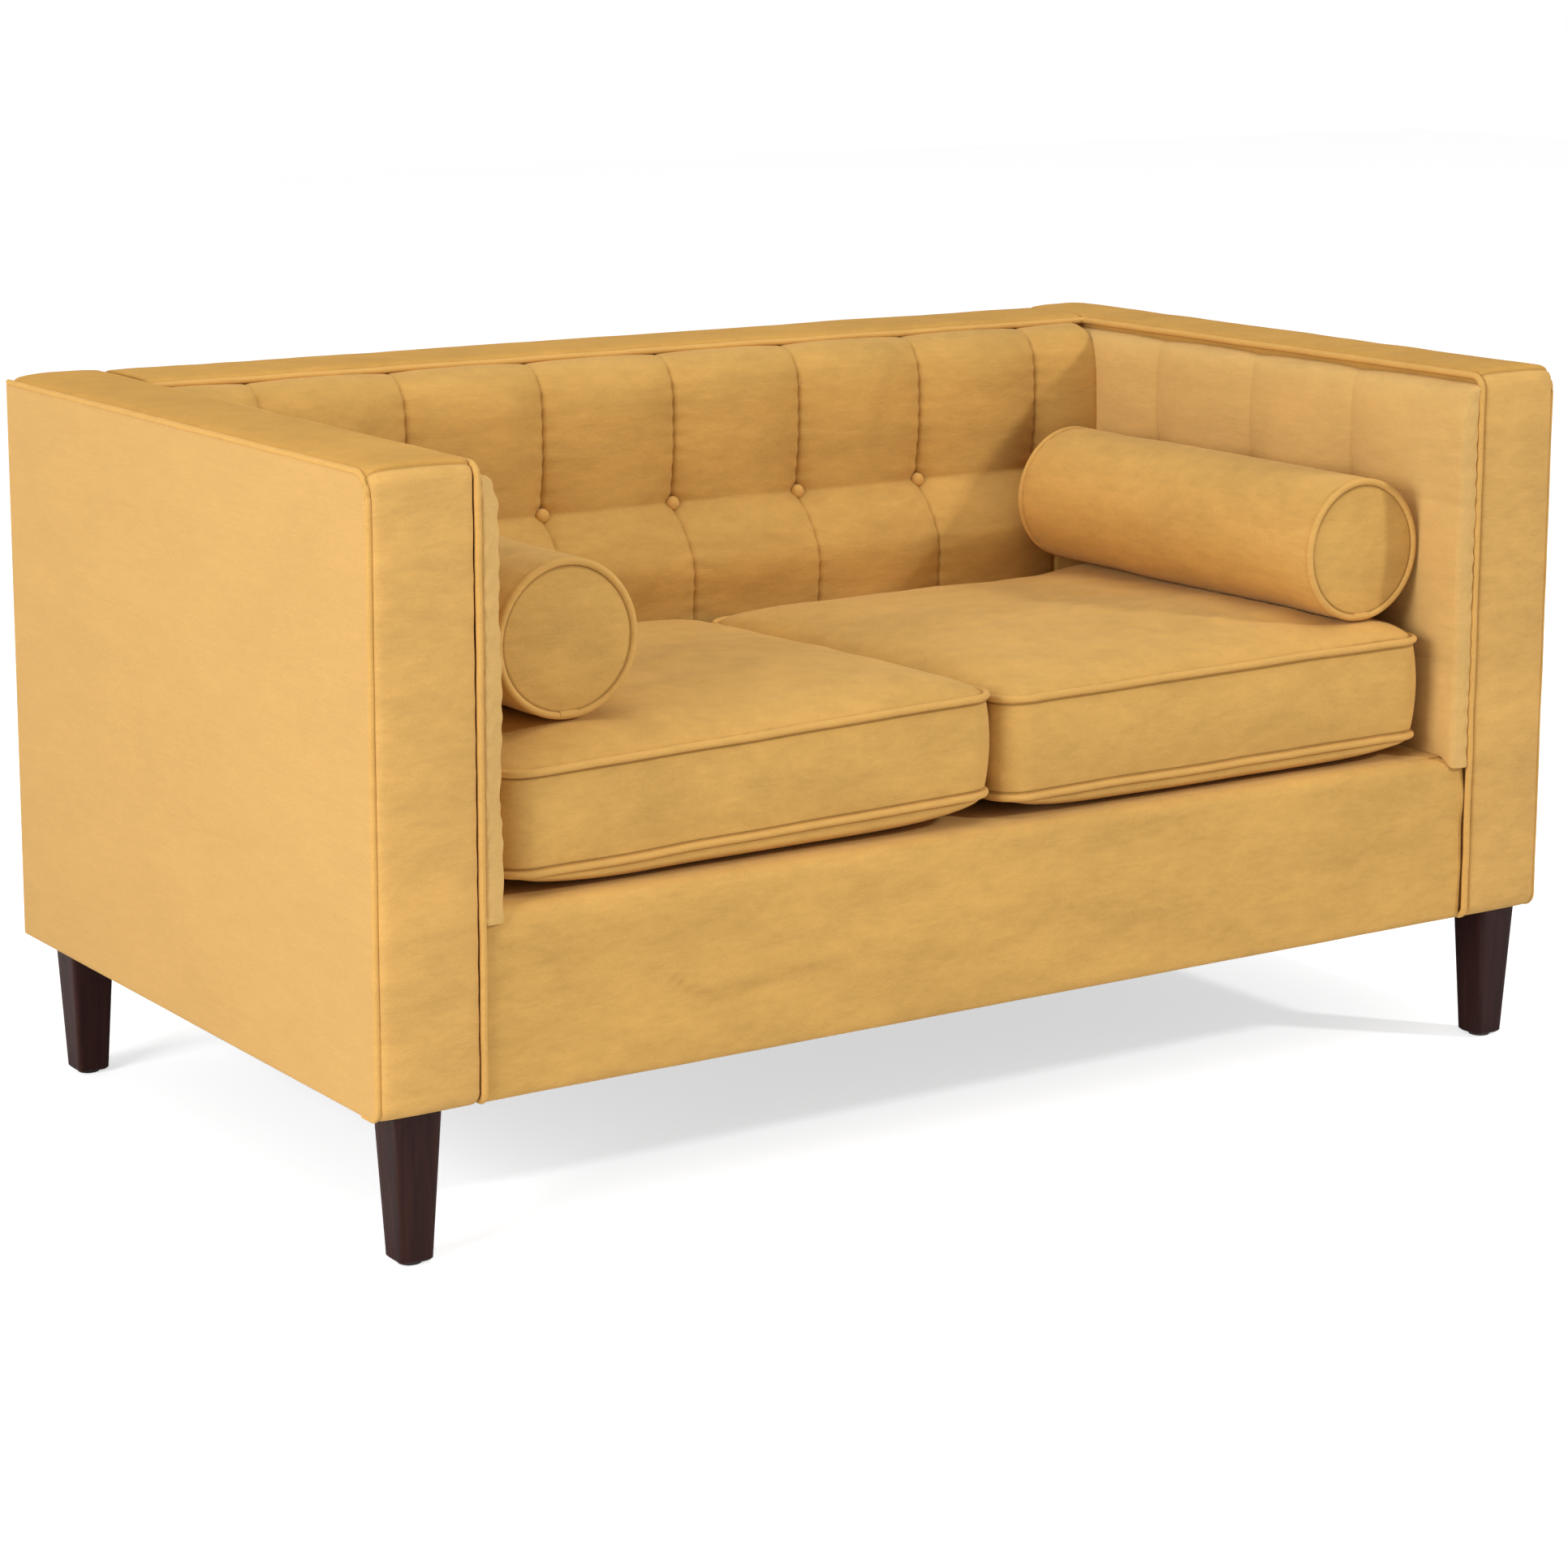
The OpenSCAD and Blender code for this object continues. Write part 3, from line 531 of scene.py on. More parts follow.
def outline(points, step=0.001, blur=0.006):
    """A polyline in mm resampled evenly in metres and smoothed with a bell curve, so that it has no corners.
    Returns the points and the distance along them."""
    p = np.array(points, float) * MM
    s = np.concatenate([[0], np.cumsum(np.linalg.norm(np.diff(p, axis=0), axis=1))])
    t = np.linspace(0, s[-1], int(s[-1] / step) + 1)
    q = np.stack([np.interp(t, s, p[:, k]) for k in (0, 1)], 1)
    n = int(3 * blur / step)
    bell = np.exp(-0.5 * (np.arange(-n, n + 1) * step / blur) ** 2)
    bell /= bell.sum()
    before, after = 2 * q[:1] - q[n:0:-1], 2 * q[-1:] - q[-2 : -n - 2 : -1]
    wide = np.vstack([before, q, after])
    q = np.stack([np.convolve(wide[:, k], bell, "valid") for k in (0, 1)], 1)
    return q, np.concatenate([[0], np.cumsum(np.linalg.norm(np.diff(q, axis=0), axis=1))])


def pad_grid(along, side, levels, dent, top):
    """Front of a pad: the side outline carried along the pad and pressed in by dent(along, height).
    The dent points into the pad on the face and turns downwards over the end of the outline, above top."""
    q, s = side
    rise = np.interp(levels, q[:, 1][: np.argmax(q[:, 1]) + 1], s[: np.argmax(q[:, 1]) + 1])
    s_levels = np.concatenate([rise, np.linspace(rise[-1], s[-1], 14)[1:]])
    depth = np.interp(s_levels, s, q[:, 0])
    height = np.interp(s_levels, s, q[:, 1])
    turn = (
        smooth(
            s_levels, np.interp(top, q[:, 1][: np.argmax(q[:, 1])], s[: np.argmax(q[:, 1])]), s[-1]
        ) * np.pi / 2
    )
    a, z = along[:, None], height[None, :]
    press, shade_and_brush_marks = dent(a, z)
    return a + 0 * z, depth[None] + press * np.cos(turn)[None], z - 0.30 * press * np.sin(turn)[None], shade_and_brush_marks


def closed_back(a, depth, z, shade_and_brush_marks, back, floor):
    """Adds the back and the underside of a pad to the rows of its front."""
    rows = a.shape[0]
    behind = np.array([[back, z[:, -1].min() - 0.003], [back, 0.7 * floor + 0.3 * TOP], [back, floor]])
    extra = np.broadcast_to(behind[None], (rows, 3, 2))
    a2 = np.concatenate([a, a[:, :3]], 1)
    d2 = np.concatenate([depth, extra[..., 0]], 1)
    z2 = np.concatenate([z, extra[..., 1]], 1)
    f2 = np.concatenate([shade_and_brush_marks, np.zeros((rows, 3))], 1)
    return a2, d2, z2, f2


def to_columns(a, columns, half):
    """Nearness to the closest column: 1 on it, 0 half a pitch away; and the distance to it."""
    away = np.abs(a[..., None] - columns).min(axis=-1)
    return np.clip(1 - away / half, 0, 1), away


BACK_SIDE = [
    (206, 350.8), (206, 470), (204, 498), (199, 528), (199, 548), (212, 576), (230, 600), (240, 613),
    (240, 640), (238, 680), (240, 735), (246, 758), (257, 774), (272, 785), (288, 789), (300, 789.5)
]
FOLD_HEIGHTS = np.array([350, 440, 493, 526, 557, 592, 612, 640, 735, 786]) * MM
FOLD_DEPTHS = np.array([4, 5, 7, 9, 11, 12, 15, 17, 16, 9]) * MM


# Where a hand has brushed the pile the other way: middle x and z, half length, half width, tilt in degrees
BRUSHED = [
    (-0.075, 0.505, 0.060, 0.013, 62), (0.075, 0.508, 0.050, 0.010, 22),
    (-0.270, 0.535, 0.045, 0.009, 28), (0.290, 0.700, 0.075, 0.018, 75), (-0.420, 0.690, 0.070, 0.020, 80)
]


def brush_marks(x, z):
    """Soft darker smears on the pile: ellipses with a rounded fall-off, each darkest along one side."""
    total = 0.0
    for cx, cz, long, wide, tilt in BRUSHED:
        c, d = math.cos(math.radians(tilt)), math.sin(math.radians(tilt))
        p, q = ((x - cx) * c + (z - cz) * d) / long, ((z - cz) * c - (x - cx) * d) / wide
        q = q + 0.8 * p * p
        total = total + 0.13 * np.exp(-(p**4) - q * q) * (0.7 + 0.3 * np.tanh(2 * q))
    return total


def make_back_pad():
    """Front depth = side outline + valley |near a column|^2.6 + sewn groove on each column + pit round each
    button + soft crease from button to button + brushed unevenness, rounded off at both ends."""
    reach_x = PAD_IN + 0.008
    along = stations(-reach_x, reach_x, 0.005, list(COLUMNS), fine=0.0016, reach=0.008)
    levels = stations(0.3508, 0.788, 0.0045, [BUTTON_Z], fine=0.0022, reach=0.016)

    def dent(x, z):
        near, away = to_columns(x, COLUMNS, PITCH / 2)
        wander = 0.0012 * waves(z * 1.0, x * 0 + 1, 0.16, 5, 2)
        _, sewn = to_columns(x + wander, COLUMNS, PITCH / 2)
        valley = np.interp(z, FOLD_HEIGHTS, FOLD_DEPTHS) * near**2.6
        groove = 0.0024 * np.exp(-((sewn / 0.0026) ** 2)) * smooth(z, 0.36, 0.46)
        reach = np.hypot(away, z - BUTTON_Z)
        pit = 0.0098 * np.exp(-reach / 0.024)
        arch = BUTTON_Z + 0.004 * (1 - near**2) + 0.0015 * waves(x, z * 0, 0.30, 8, 1)
        crease = (0.0035 * near + 0.0012) * np.exp(-np.abs(z - arch) / 0.006)
        puckers = 0.0009 * near**6 * np.sin((z - BUTTON_Z) * 2 * np.pi / 0.019 + 2 * waves(x, z, 0.2, 3, 1))
        uneven = 0.0016 * waves(x, z, 0.26, 11, 3) * (1 - 0.6 * near)
        t = np.clip((np.abs(x) - (reach_x - 0.011)) / 0.011, 0, 1)
        ends = 0.009 * (1 - np.sqrt(np.maximum(1 - t * t, 0)))
        # Painted shade: darker along each sewn groove, round each button pit and along the crease from button
        # to button; the brushed smears join the same mask.
        shade_and_brush_marks = 0.14 * np.exp(-((sewn / 0.0018) ** 2)) * smooth(z, 0.36, 0.46) + 0.25 * np.exp(-reach / 0.009)
        shade_and_brush_marks = shade_and_brush_marks + 0.07 * np.exp(-np.abs(z - arch) / 0.0022) * (0.25 + near) + brush_marks(x, z)
        return valley + groove + pit + crease + puckers + uneven + ends, shade_and_brush_marks

    a, depth, z, shade_and_brush_marks = pad_grid(along, outline(BACK_SIDE), levels, dent, 0.748)
    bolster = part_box("bolster_cover_left")
    clear = 0.007
    inside = smooth(a, bolster[0].x - 0.03, bolster[0].x) * (1 - smooth(a, bolster[1].x, bolster[1].x + 0.03))
    inside = (
        inside * smooth(z, bolster[0].z - 0.03, bolster[0].z) * (
            1 - smooth(z, bolster[1].z, bolster[1].z + 0.03)
        )
    )
    depth = depth + inside * np.maximum(bolster[1].y + clear - depth, 0)
    a, depth, z, shade_and_brush_marks = closed_back(a, depth, z, shade_and_brush_marks, BACK_IN - 0.0003, DECK + 0.0008)
    ob = piece(
        "back_pad_tufted", surface(stack(a, depth, z)), "sofa_body", velvet_back_shaded,
        ["back_pad"], fields={"shade_and_brush_marks": shade_and_brush_marks},
    )


ARM_SIDE = [
    (627.0, 350.8), (625.8, 400), (627.4, 457), (625.4, 540), (626.0, 600), (627.6, 643), (626.0, 700),
    (626.6, 745), (629.0, 763), (634, 774), (642, 781), (650, 783), (654.5, 782)
]
ARM_CREASE_Z = 0.457


def make_arm_pad(side):
    """Face = side outline + shallow valleys at the button columns and at two rows + rounding at the front end
    with small puckers drawn to the welt."""
    along = stations(PAD_NOSE, BACK_IN - 0.0004, 0.0045, list(ARM_COLUMNS), fine=0.0018, reach=0.008)
    along = np.unique(np.concatenate([along, PAD_NOSE + 0.014 * (1 - np.cos(np.linspace(0, np.pi / 2, 12)))]))
    levels = stations(0.3508, 0.783, 0.0045, [ARM_BUTTON_Z, ARM_CREASE_Z], fine=0.0022, reach=0.010)

    def dent(y, z):
        near, away = to_columns(y, ARM_COLUMNS, PITCH / 2)
        _, sewn = to_columns(y + 0.0015 * waves(z, y * 0, 0.2, 21 + side, 2), ARM_COLUMNS, PITCH / 2)
        strength = smooth(z, 0.36, 0.50)
        valley = (0.003 + 0.006 * strength) * near**2.6
        groove = 0.0016 * np.exp(-((sewn / 0.003) ** 2)) * strength * (1 - 0.8 * smooth(z, 0.655, 0.745))
        reach = np.hypot(away, z - ARM_BUTTON_Z)
        pit = 0.0065 * np.exp(-reach / 0.026)
        rows = 0.0
        nap_marks_and_crease_shade = 0.0
        for level, seed in ((ARM_BUTTON_Z, 31), (ARM_CREASE_Z, 32)):
            line = level + 0.004 * (1 - near**2) + 0.002 * waves(y, z * 0, 0.3, seed, 1)
            rows = rows + (0.0016 + 0.0022 * near) * np.exp(-np.abs(z - line) / 0.006)
            # Painted shade along the two crease rows.
            nap_marks_and_crease_shade = nap_marks_and_crease_shade + 0.30 * np.exp(-np.abs(z - line) / 0.0025) * (0.3 + near)
        from_front = y - PAD_NOSE
        t = np.clip(1 - from_front / 0.008, 0, 1)
        front = 0.0065 * (1 - np.maximum(1 - t**2.2, 0) ** (1 / 2.2))
        drawn = np.sin(z * 2 * np.pi / 0.026 + 2.5 * waves(z, y * 0, 0.12, 41 + side, 2))
        puckers = 0.0009 * drawn * np.exp(-from_front / 0.016) * (1 + 1.5 * smooth(z, 0.70, 0.78))
        uneven = 0.0011 * waves(y, z, 0.22, 51 + side, 3)
        upper = 1 - 0.8 * smooth(z, 0.655, 0.745)
        # Painted shade along the sewn grooves, the crease rows and round the button pits.
        shade_and_brush_marks = (
            0.14 * np.exp(-((sewn / 0.0022) ** 2)) * strength * upper + 0.4 * nap_marks_and_crease_shade
            + 0.3 * np.exp(-reach / 0.010)
        )
        beside_back = 1 - smooth(y, BACK_IN - 0.090, BACK_IN - 0.045)
        return (valley + groove + pit + rows + uneven) * beside_back + front + puckers, shade_and_brush_marks * beside_back

    a, depth, z, shade_and_brush_marks = pad_grid(along, outline(ARM_SIDE, blur=0.005), levels, dent, 0.752)
    depth = np.minimum(depth, ARM_IN - 0.0008)
    z = z - 0.012 * (1 - smooth(a, PAD_NOSE, PAD_FRONT + 0.010)) * (1 - smooth(z, DECK, DECK + 0.05))
    a, depth, z, shade_and_brush_marks = closed_back(a, depth, z, shade_and_brush_marks, ARM_IN - 0.0003, DECK + 0.0008)
    share = (1 - np.cos(np.linspace(np.pi / 2.05, 0.25, 9)))[:, None]
    pleats = 0.0009 * np.sin(z[:1] * 2 * np.pi / 0.024 + 2.5 * waves(z[:1], share, 0.12, 61 + side, 2))
    puff = 0.0060 * smooth(share, 0.62, 0.97) - (0.0016 + pleats) * np.sin(np.pi * share)
    a = np.concatenate([a[:1] + puff, a])
    depth = np.concatenate([depth[:1] + (ARM_IN - 0.0003 - depth[:1]) * share, depth])
    z = np.concatenate([z[:1] + 0 * share, z])
    shade_and_brush_marks = np.concatenate([0.5 * shade_and_brush_marks[:1] * (1 - share), shade_and_brush_marks])
    name = "left" if side < 0 else "right"
    ob = piece(
        f"arm_pad_tufted_{name}", surface(stack(side * depth, a, z)), "sofa_body", velvet_arm_lit,
        [f"arm_pad_{name}"], fields={"shade_and_brush_marks": shade_and_brush_marks},
    )


def dome(centre, outward, up, radius, height):
    """A covered button: rings from rim to crown, radius (1 - t^2.4)^(1/2.4) at height t, rim tucked."""
    side = np.cross(up, outward)
    t = np.array([-0.35, -0.15, 0.0, 0.2, 0.4, 0.58, 0.74, 0.87, 0.96, 1.0])
    wide = np.where(t < 0, 1 + 0.8 * t, (1 - np.clip(t, 0, 1) ** 2.4) ** (1 / 2.4))
    around = np.arange(28) * 2 * np.pi / 28
    ring = np.cos(around)[:, None] * side + np.sin(around)[:, None] * up
    return surface(
        np.array(centre) + radius * wide[:, None, None] * ring[None]
        + height * t[:, None, None] * np.array(outward)
    )


def make_buttons():
    """Domed covered buttons, sunk in the pits of the pads."""
    up = np.array([0.0, 0.0, 1.0])
    toward = np.array([0.0, -1.0, 0.0])
    back = [dome((x, BUTTON_FACE - 0.0015, BUTTON_Z), toward, up, BUTTON_R * 1.10, 0.0085) for x in COLUMNS]
    piece(
        "back_buttons_covered", join(*back), "sofa_body", velvet_cord_lit, ["back_buttons"],
        sharp=60
    )
    sides = []
    for side in (-1, 1):
        out = np.array([-side, 0.0, 0.0])
        sides += [
            dome((side * 0.6370, y, ARM_BUTTON_Z), out, up, BUTTON_R * 1.06, 0.0075) for y in ARM_COLUMNS
        ]
    piece(
        "arm_buttons_covered", join(*sides), "sofa_body", velvet_cord_lit, ["arm_buttons"],
        sharp=60
    )


make_back_pad()
make_arm_pad(-1)
make_arm_pad(1)
make_buttons()

# ---------------------------------------------------------------- loose cushions


def rounded_rectangle(half_x, half_y, radius, count):
    """Points evenly spaced round a rectangle with round corners, and their outward directions."""
    quarter = radius * np.pi / 2
    sides = [2 * (half_y - radius), 2 * (half_x - radius)] * 2
    corner = [(half_x - radius, half_y - radius), (-half_x + radius, half_y - radius),
              (-half_x + radius, -half_y + radius), (half_x - radius, -half_y + radius)]
    s = np.arange(count) * (sum(sides) + 4 * quarter) / count
    points, normals = np.zeros((count, 2)), np.zeros((count, 2))
    start = 0.0
    for k in range(4):
        angle = k * np.pi / 2
        out = np.array([np.cos(angle), np.sin(angle)])
        go = np.array([-np.sin(angle), np.cos(angle)])
        end = np.array(corner[k])
        run = (s >= start) & (s < start + sides[k])
        points[run] = end + out * radius - go * (sides[k] - (s[run] - start))[:, None]
        normals[run] = out
        start += sides[k]
        turn = (s >= start) & (s < start + quarter)
        t = angle + (s[turn] - start) / radius
        way = np.stack([np.cos(t), np.sin(t)], 1)
        points[turn] = end + radius * way
        normals[turn] = way
        start += quarter
    return points, normals, s


SEAM_LOW, SEAM_HIGH = plane("seat_cushion_piping_right", 0, "z"), plane("seat_cushion_piping_right", 1, "z")
CUSHION_TOP = plane("seat_cushion_cover_right", 1, "z")
PIPING_R = 0.004
PIPING_OUT = 0.0022
CUSHION_CORNER = 0.034
LOOP_POINTS = 520
CROWN = CUSHION_TOP - SEAM_HIGH
BELLY = 0.0195
PUFF = 0.010


def make_seat_cushion(name, side, seed, lift):
    """A boxed cushion. Top = seam + crown (1-|u|^p)(1-|v|^4), with a quick puff beside the seam; boxing
    bulges as a sine between the seams; the underside rolls down from its seam, least at the corners, and
    rests on the deck. lift raises the front seams from left to right."""
    low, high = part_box(f"seat_cushion_piping_{name}")
    cx, cy = (low.x + high.x) / 2, (low.y + high.y) / 2
    hx, hy = (high.x - low.x) / 2 - PIPING_R - PIPING_OUT, (high.y - low.y) / 2 - PIPING_R - PIPING_OUT
    ring, normal, s = rounded_rectangle(hx, hy, CUSHION_CORNER, LOOP_POINTS)
    pull = 0.0035 * np.cos(np.pi * ring[:, 0] / (2 * hx)) * np.abs(normal[:, 1])
    pull = pull + 0.003 * np.cos(np.pi * ring[:, 1] / (2 * hy)) * np.abs(normal[:, 0])
    ring = ring - normal * pull[:, None]
    seam = lambda k: 0.0011 * waves(ring[:, 0] + k, ring[:, 1], 0.24, seed + k, 2)
    towards_front = np.clip((1 - ring[:, 1] / hy) / 2, 0, 1) ** 1.5
    from_left = np.clip((1 + ring[:, 0] / hx) / 2, 0, 1)
    high_seam = SEAM_HIGH + seam(0) + lift[0](from_left) * towards_front
    low_seam = SEAM_LOW + seam(7) + lift[1](from_left) * towards_front

    inward = 1 - np.concatenate([0.10 * np.linspace(0, 1, 22) ** 1.6, np.linspace(0.10, 0.985, 56)[1:]])
    x = ring[None, :, 0] * inward[:, None]
    y = ring[None, :, 1] * inward[:, None]
    u, v = x / hx, y / hy
    away = (1 - inward)[:, None] * 0.29
    outer = smooth(u * side, -0.15, 0.35)
    rise = (1 - outer) * (1 - np.abs(u) ** 5.5) + outer * (1 - np.abs(u) ** 6.5)
    crown = (CROWN - PUFF) * rise * (1 - np.abs(v) ** 4.0) * (1 - np.exp(-away / 0.014))
    puff = PUFF * (1 - np.exp(-away / 0.009))
    drawn = np.sin(s[None] * 2 * np.pi / 0.031 + 3 * waves(x, y, 0.15, seed + 1, 2))
    puckers = 0.0006 * drawn * np.exp(-away / 0.020) * (1 - np.exp(-away / 0.003))
    uneven = (
        0.0018 * waves(x, y * 1.6, 0.20, seed + 2, 3) + 0.0012 * waves(x + y, y * 2.4, 0.11, seed + 3, 2)
    )
    top = high_seam[None] + crown + puff + puckers + uneven * (1 - np.exp(-away / 0.05))
    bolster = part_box(f"bolster_cover_{name}")
    bx, bz = (bolster[0].x + bolster[1].x) / 2, (bolster[0].z + bolster[1].z) / 2
    radius = (bolster[1].z - bolster[0].z) / 2
    gap = np.abs(x + cx - bx)
    under = bz - np.sqrt(np.maximum((radius + 0.0006) ** 2 - np.minimum(gap, radius) ** 2, 0))
    level = top.mean(axis=1, keepdims=True)
    top = level + (top - level) * smooth(inward, 0.02, 0.20)[:, None]
    spread = (y + cy > bolster[0].y) & (y + cy < bolster[1].y)
    reach = 1 - smooth(gap, 0.0, 0.085)
    ends = smooth(y + cy, bolster[0].y - 0.04, bolster[0].y + 0.01) * (1 - smooth(y + cy, 0.12, 0.20))
    top = top + reach * ends * np.maximum(bolster[0].z - 0.0008 - top, 0)
    top = np.where(spread, np.minimum(top, under), top)
    # Painted shade on the top just inside the piping.
    seam_shade_top = 0.55 * np.exp(-((away - 0.0010) / 0.0016) ** 2) + 0 * x

    edge = np.array([0.0015, 0.0035, 0.0050, 0.0058, 0.0064, 0.0072, 0.0085, 0.0110, 0.0150])
    edge = edge / (SEAM_HIGH - SEAM_LOW)
    t = np.concatenate([edge, np.linspace(0.18, 0.82, 16), 1 - edge[::-1]])[:, None]
    bulge = (
        0.0065 * np.sin(np.pi * t) ** 0.75
        + 0.0009 * waves(s[None], t * 0.1, 0.19, seed + 4, 3) * np.sin(np.pi * t)
    )
    box_x = ring[None, :, 0] + normal[None, :, 0] * bulge
    box_y = ring[None, :, 1] + normal[None, :, 1] * bulge
    box_z = high_seam[None] + (low_seam - high_seam)[None] * t
    band = np.minimum(t, 1 - t) * (SEAM_HIGH - SEAM_LOW)
    # Painted shade in the crease under the piping on the boxing.
    seam_shade_box = 0.75 * np.exp(-((band - 0.0060) / 0.0009) ** 2) + 0 * box_x

    ux, vy = ring[None, :, 0] * inward[:, None] / hx, ring[None, :, 1] * inward[:, None] / hy
    round_off = np.clip(1 - away / 0.030, 0, 1)
    rounded = np.maximum(1 - round_off**2.8, 0) ** (1 / 2.8)
    drop = low_seam[None] - (DECK + 0.0016)
    sag = np.minimum(drop, BELLY * (1 + 0.35 * smooth(drop, BELLY, 0.034)))
    sag = sag * (1 - 0.9 * np.abs(ux) ** 6) * rounded
    settle = smooth(away, 0.02, 0.14)
    under_z = (low_seam[None] - sag) * (1 - settle) + (DECK + 0.0016) * settle

    roll = 0.0050 * np.sin(np.pi * np.clip(rounded, 0, 1) ** 1.3) * (1 - np.abs(ux) ** 8) * (away < 0.031)
    under_x, under_y = ux * hx + normal[None, :, 0] * roll, vy * hy + normal[None, :, 1] * roll

    rows = [
        stack(x + cx, y + cy, top)[::-1],
        stack(box_x + cx, box_y + cy, box_z),
        stack(under_x + cx, under_y + cy, under_z),
    ]
    # Painted shade also right at the underside's seam.
    shade_and_brush_marks = np.vstack([seam_shade_top[::-1], seam_shade_box, 0.4 * np.exp(-away / 0.0004) + 0 * ux])
    body = f"seat_cushion_{name}"
    nodes = [f"seat_cushion_cover_{name}", f"seat_cushion_core_{name}"]
    ob = piece(
        f"seat_cushion_velvet_{name}", surface(np.vstack(rows)), body, velvet_brushed, nodes,
        fields={"shade_and_brush_marks": shade_and_brush_marks}
    )
    cords = []
    for level in (high_seam, low_seam):
        path = np.stack(
            [
                ring[:, 0] + normal[:, 0] * PIPING_OUT + cx,
                ring[:, 1] + normal[:, 1] * PIPING_OUT + cy,
                level,
            ],
            1,
        )
        cords.append(tube(path, PIPING_R, closed=True))
    piece(
        f"seat_cushion_welts_{name}", join(*cords), body, velvet_cord_lit,
        [f"seat_cushion_piping_{name}"]
    )


# How much higher the front seams ride than level, from the cushion's left end (0) to its right end (1)
LEFT_LIFT = (lambda t: 0.0150 * t**1.3, lambda t: 0.0035 + 0.0110 * t**1.5)
RIGHT_LIFT = (lambda t: 0.006 + 0.007 * t, lambda t: 0.0040 + 0.0030 * t)
make_seat_cushion("left", -1, 100, LEFT_LIFT)
make_seat_cushion("right", 1, 200, RIGHT_LIFT)


def make_bolster(name, seed):
    """A tube of velvet: radius along its length puffs out from the end seams to full size, with brushed
    unevenness, small gathers beside the seams and a little flattening underneath; the ends are low domes."""
    low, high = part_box(f"bolster_cover_{name}")
    cx, cz, radius = (low.x + high.x) / 2, (low.z + high.z) / 2, (high.z - low.z) / 2
    seam_r = radius - PIPING_R
    angle = np.arange(132) * 2 * np.pi / 132
    inner = np.sqrt(np.linspace(0.0004, 1, 15))
    disc_r = inner * (seam_r - 0.002)
    first, last = low.y + PIPING_R, high.y - PIPING_R
    barrel = stations(0, (last - first) / 2, 0.010, [0.0], fine=0.002, reach=0.018)
    from_end = np.concatenate([barrel[:-1], barrel[::-1]])
    place = np.concatenate([first + barrel[:-1], last - barrel[::-1]])
    puff = seam_r - 0.0022 + 0.0058 * (1 - np.exp(-from_end / 0.007))
    puff = np.minimum(puff, radius - 0.0004)
    y = np.concatenate(
        [first - 0.0055 * (1 - inner**2) ** 0.8, place, last + 0.0055 * (1 - inner[::-1] ** 2) ** 0.8]
    )
    r = np.concatenate([disc_r, puff, disc_r[::-1]])
    y = np.clip(y, low.y, high.y)
    on_barrel = np.concatenate([np.zeros(15), np.ones(len(place)), np.zeros(15)])[:, None]
    away = np.concatenate([np.full(15, 0.2), from_end, np.full(15, 0.2)])[:, None]
    rr = r[:, None] + 0 * angle[None]
    turn = angle[None] * radius
    rr = rr + on_barrel * (1 - np.exp(-away / 0.02)) * 0.0013 * waves(y[:, None] * 0.6, turn, 0.16, seed, 3)
    rr = (
        rr
        + on_barrel * 0.0006 * np.sin(
            angle[None] * 24 + 2 * waves(turn, y[:, None], 0.2, seed + 1, 1)
        ) * np.exp(-away / 0.014)
    )
    rr = np.minimum(rr, radius)
    yy = (
        y[:, None]
        + (1 - on_barrel) * 0.0010 * waves(
            rr * np.cos(angle), rr * np.sin(angle), 0.09, seed + 2, 2
        ) * (1 - (r[:, None] / seam_r) ** 6)
    )
    yy = np.clip(yy, low.y, high.y)
    x, z = cx + rr * np.sin(angle), cz - rr * np.cos(angle)
    z = np.maximum(z, low.z + 0.0004)
    # Painted shade on the barrel beside each end seam and on the end discs round their rim.
    shade_and_brush_marks = (
        on_barrel * 0.55 * np.exp(-away / 0.003)
        + (1 - on_barrel) * 0.75 * smooth(r[:, None], seam_r - 0.0075, seam_r - 0.0035) + 0 * angle
    )
    body = f"bolster_{name}"
    nodes = [f"bolster_cover_{name}", f"bolster_core_{name}"]
    ob = piece(
        f"bolster_velvet_{name}", surface(stack(x, yy, z)), body, velvet_brushed, nodes,
        fields={"shade_and_brush_marks": shade_and_brush_marks}
    )
    rings = []
    for k, centre in enumerate((first, last)):
        a = np.arange(150) * 2 * np.pi / 150
        wob = 0.0006 * np.sin(3 * a + seed + k)
        path = np.stack(
            [
                cx + (seam_r + wob - 0.0006) * np.sin(a), centre + 0.0005 * np.sin(2 * a + k),
                cz - (seam_r + wob - 0.0006) * np.cos(a)
            ],
            1
        )
        path[:, 2] = np.maximum(path[:, 2], low.z + PIPING_R)
        rings.append(tube(path, PIPING_R * 0.97, closed=True, up=(0, 1, 0)))
        join_at = np.array(
            [
                [cx - 0.010, centre, low.z + PIPING_R + 0.0022],
                [cx + 0.010, centre, low.z + PIPING_R + 0.0022]
            ]
        )
        rings.append(tube(np.linspace(join_at[0], join_at[1], 6), PIPING_R * 1.12))
    piece(f"bolster_welts_{name}", join(*rings), body, velvet_cord_lit, [f"bolster_piping_{name}"])


make_bolster("left", 300)
make_bolster("right", 400)

# ---------------------------------------------------------------- arms, back and front in velvet


def crowned(across, height, drop, square=12.0, flat_in=0.0):
    """Height of a padded strip across its width, -1 to 1: a shallow crown that rolls down sharply at both
    edges. flat_in keeps the inner edge, at -1, square."""
    q = np.abs(across)
    roll = np.maximum(1 - q**square, 0) ** (1 / 2.6)
    square_edge = np.maximum(1 - q**30, 0) ** (1 / 2.6)
    inner = (across < 0) * flat_in
    return (height - drop * q**2.6 * (1 - 0.5 * inner)) * ((1 - inner) * roll + inner * square_edge)


ROLL_OUT = CORE_OUT + 0.0012
SEAM_TURN = math.radians(52)


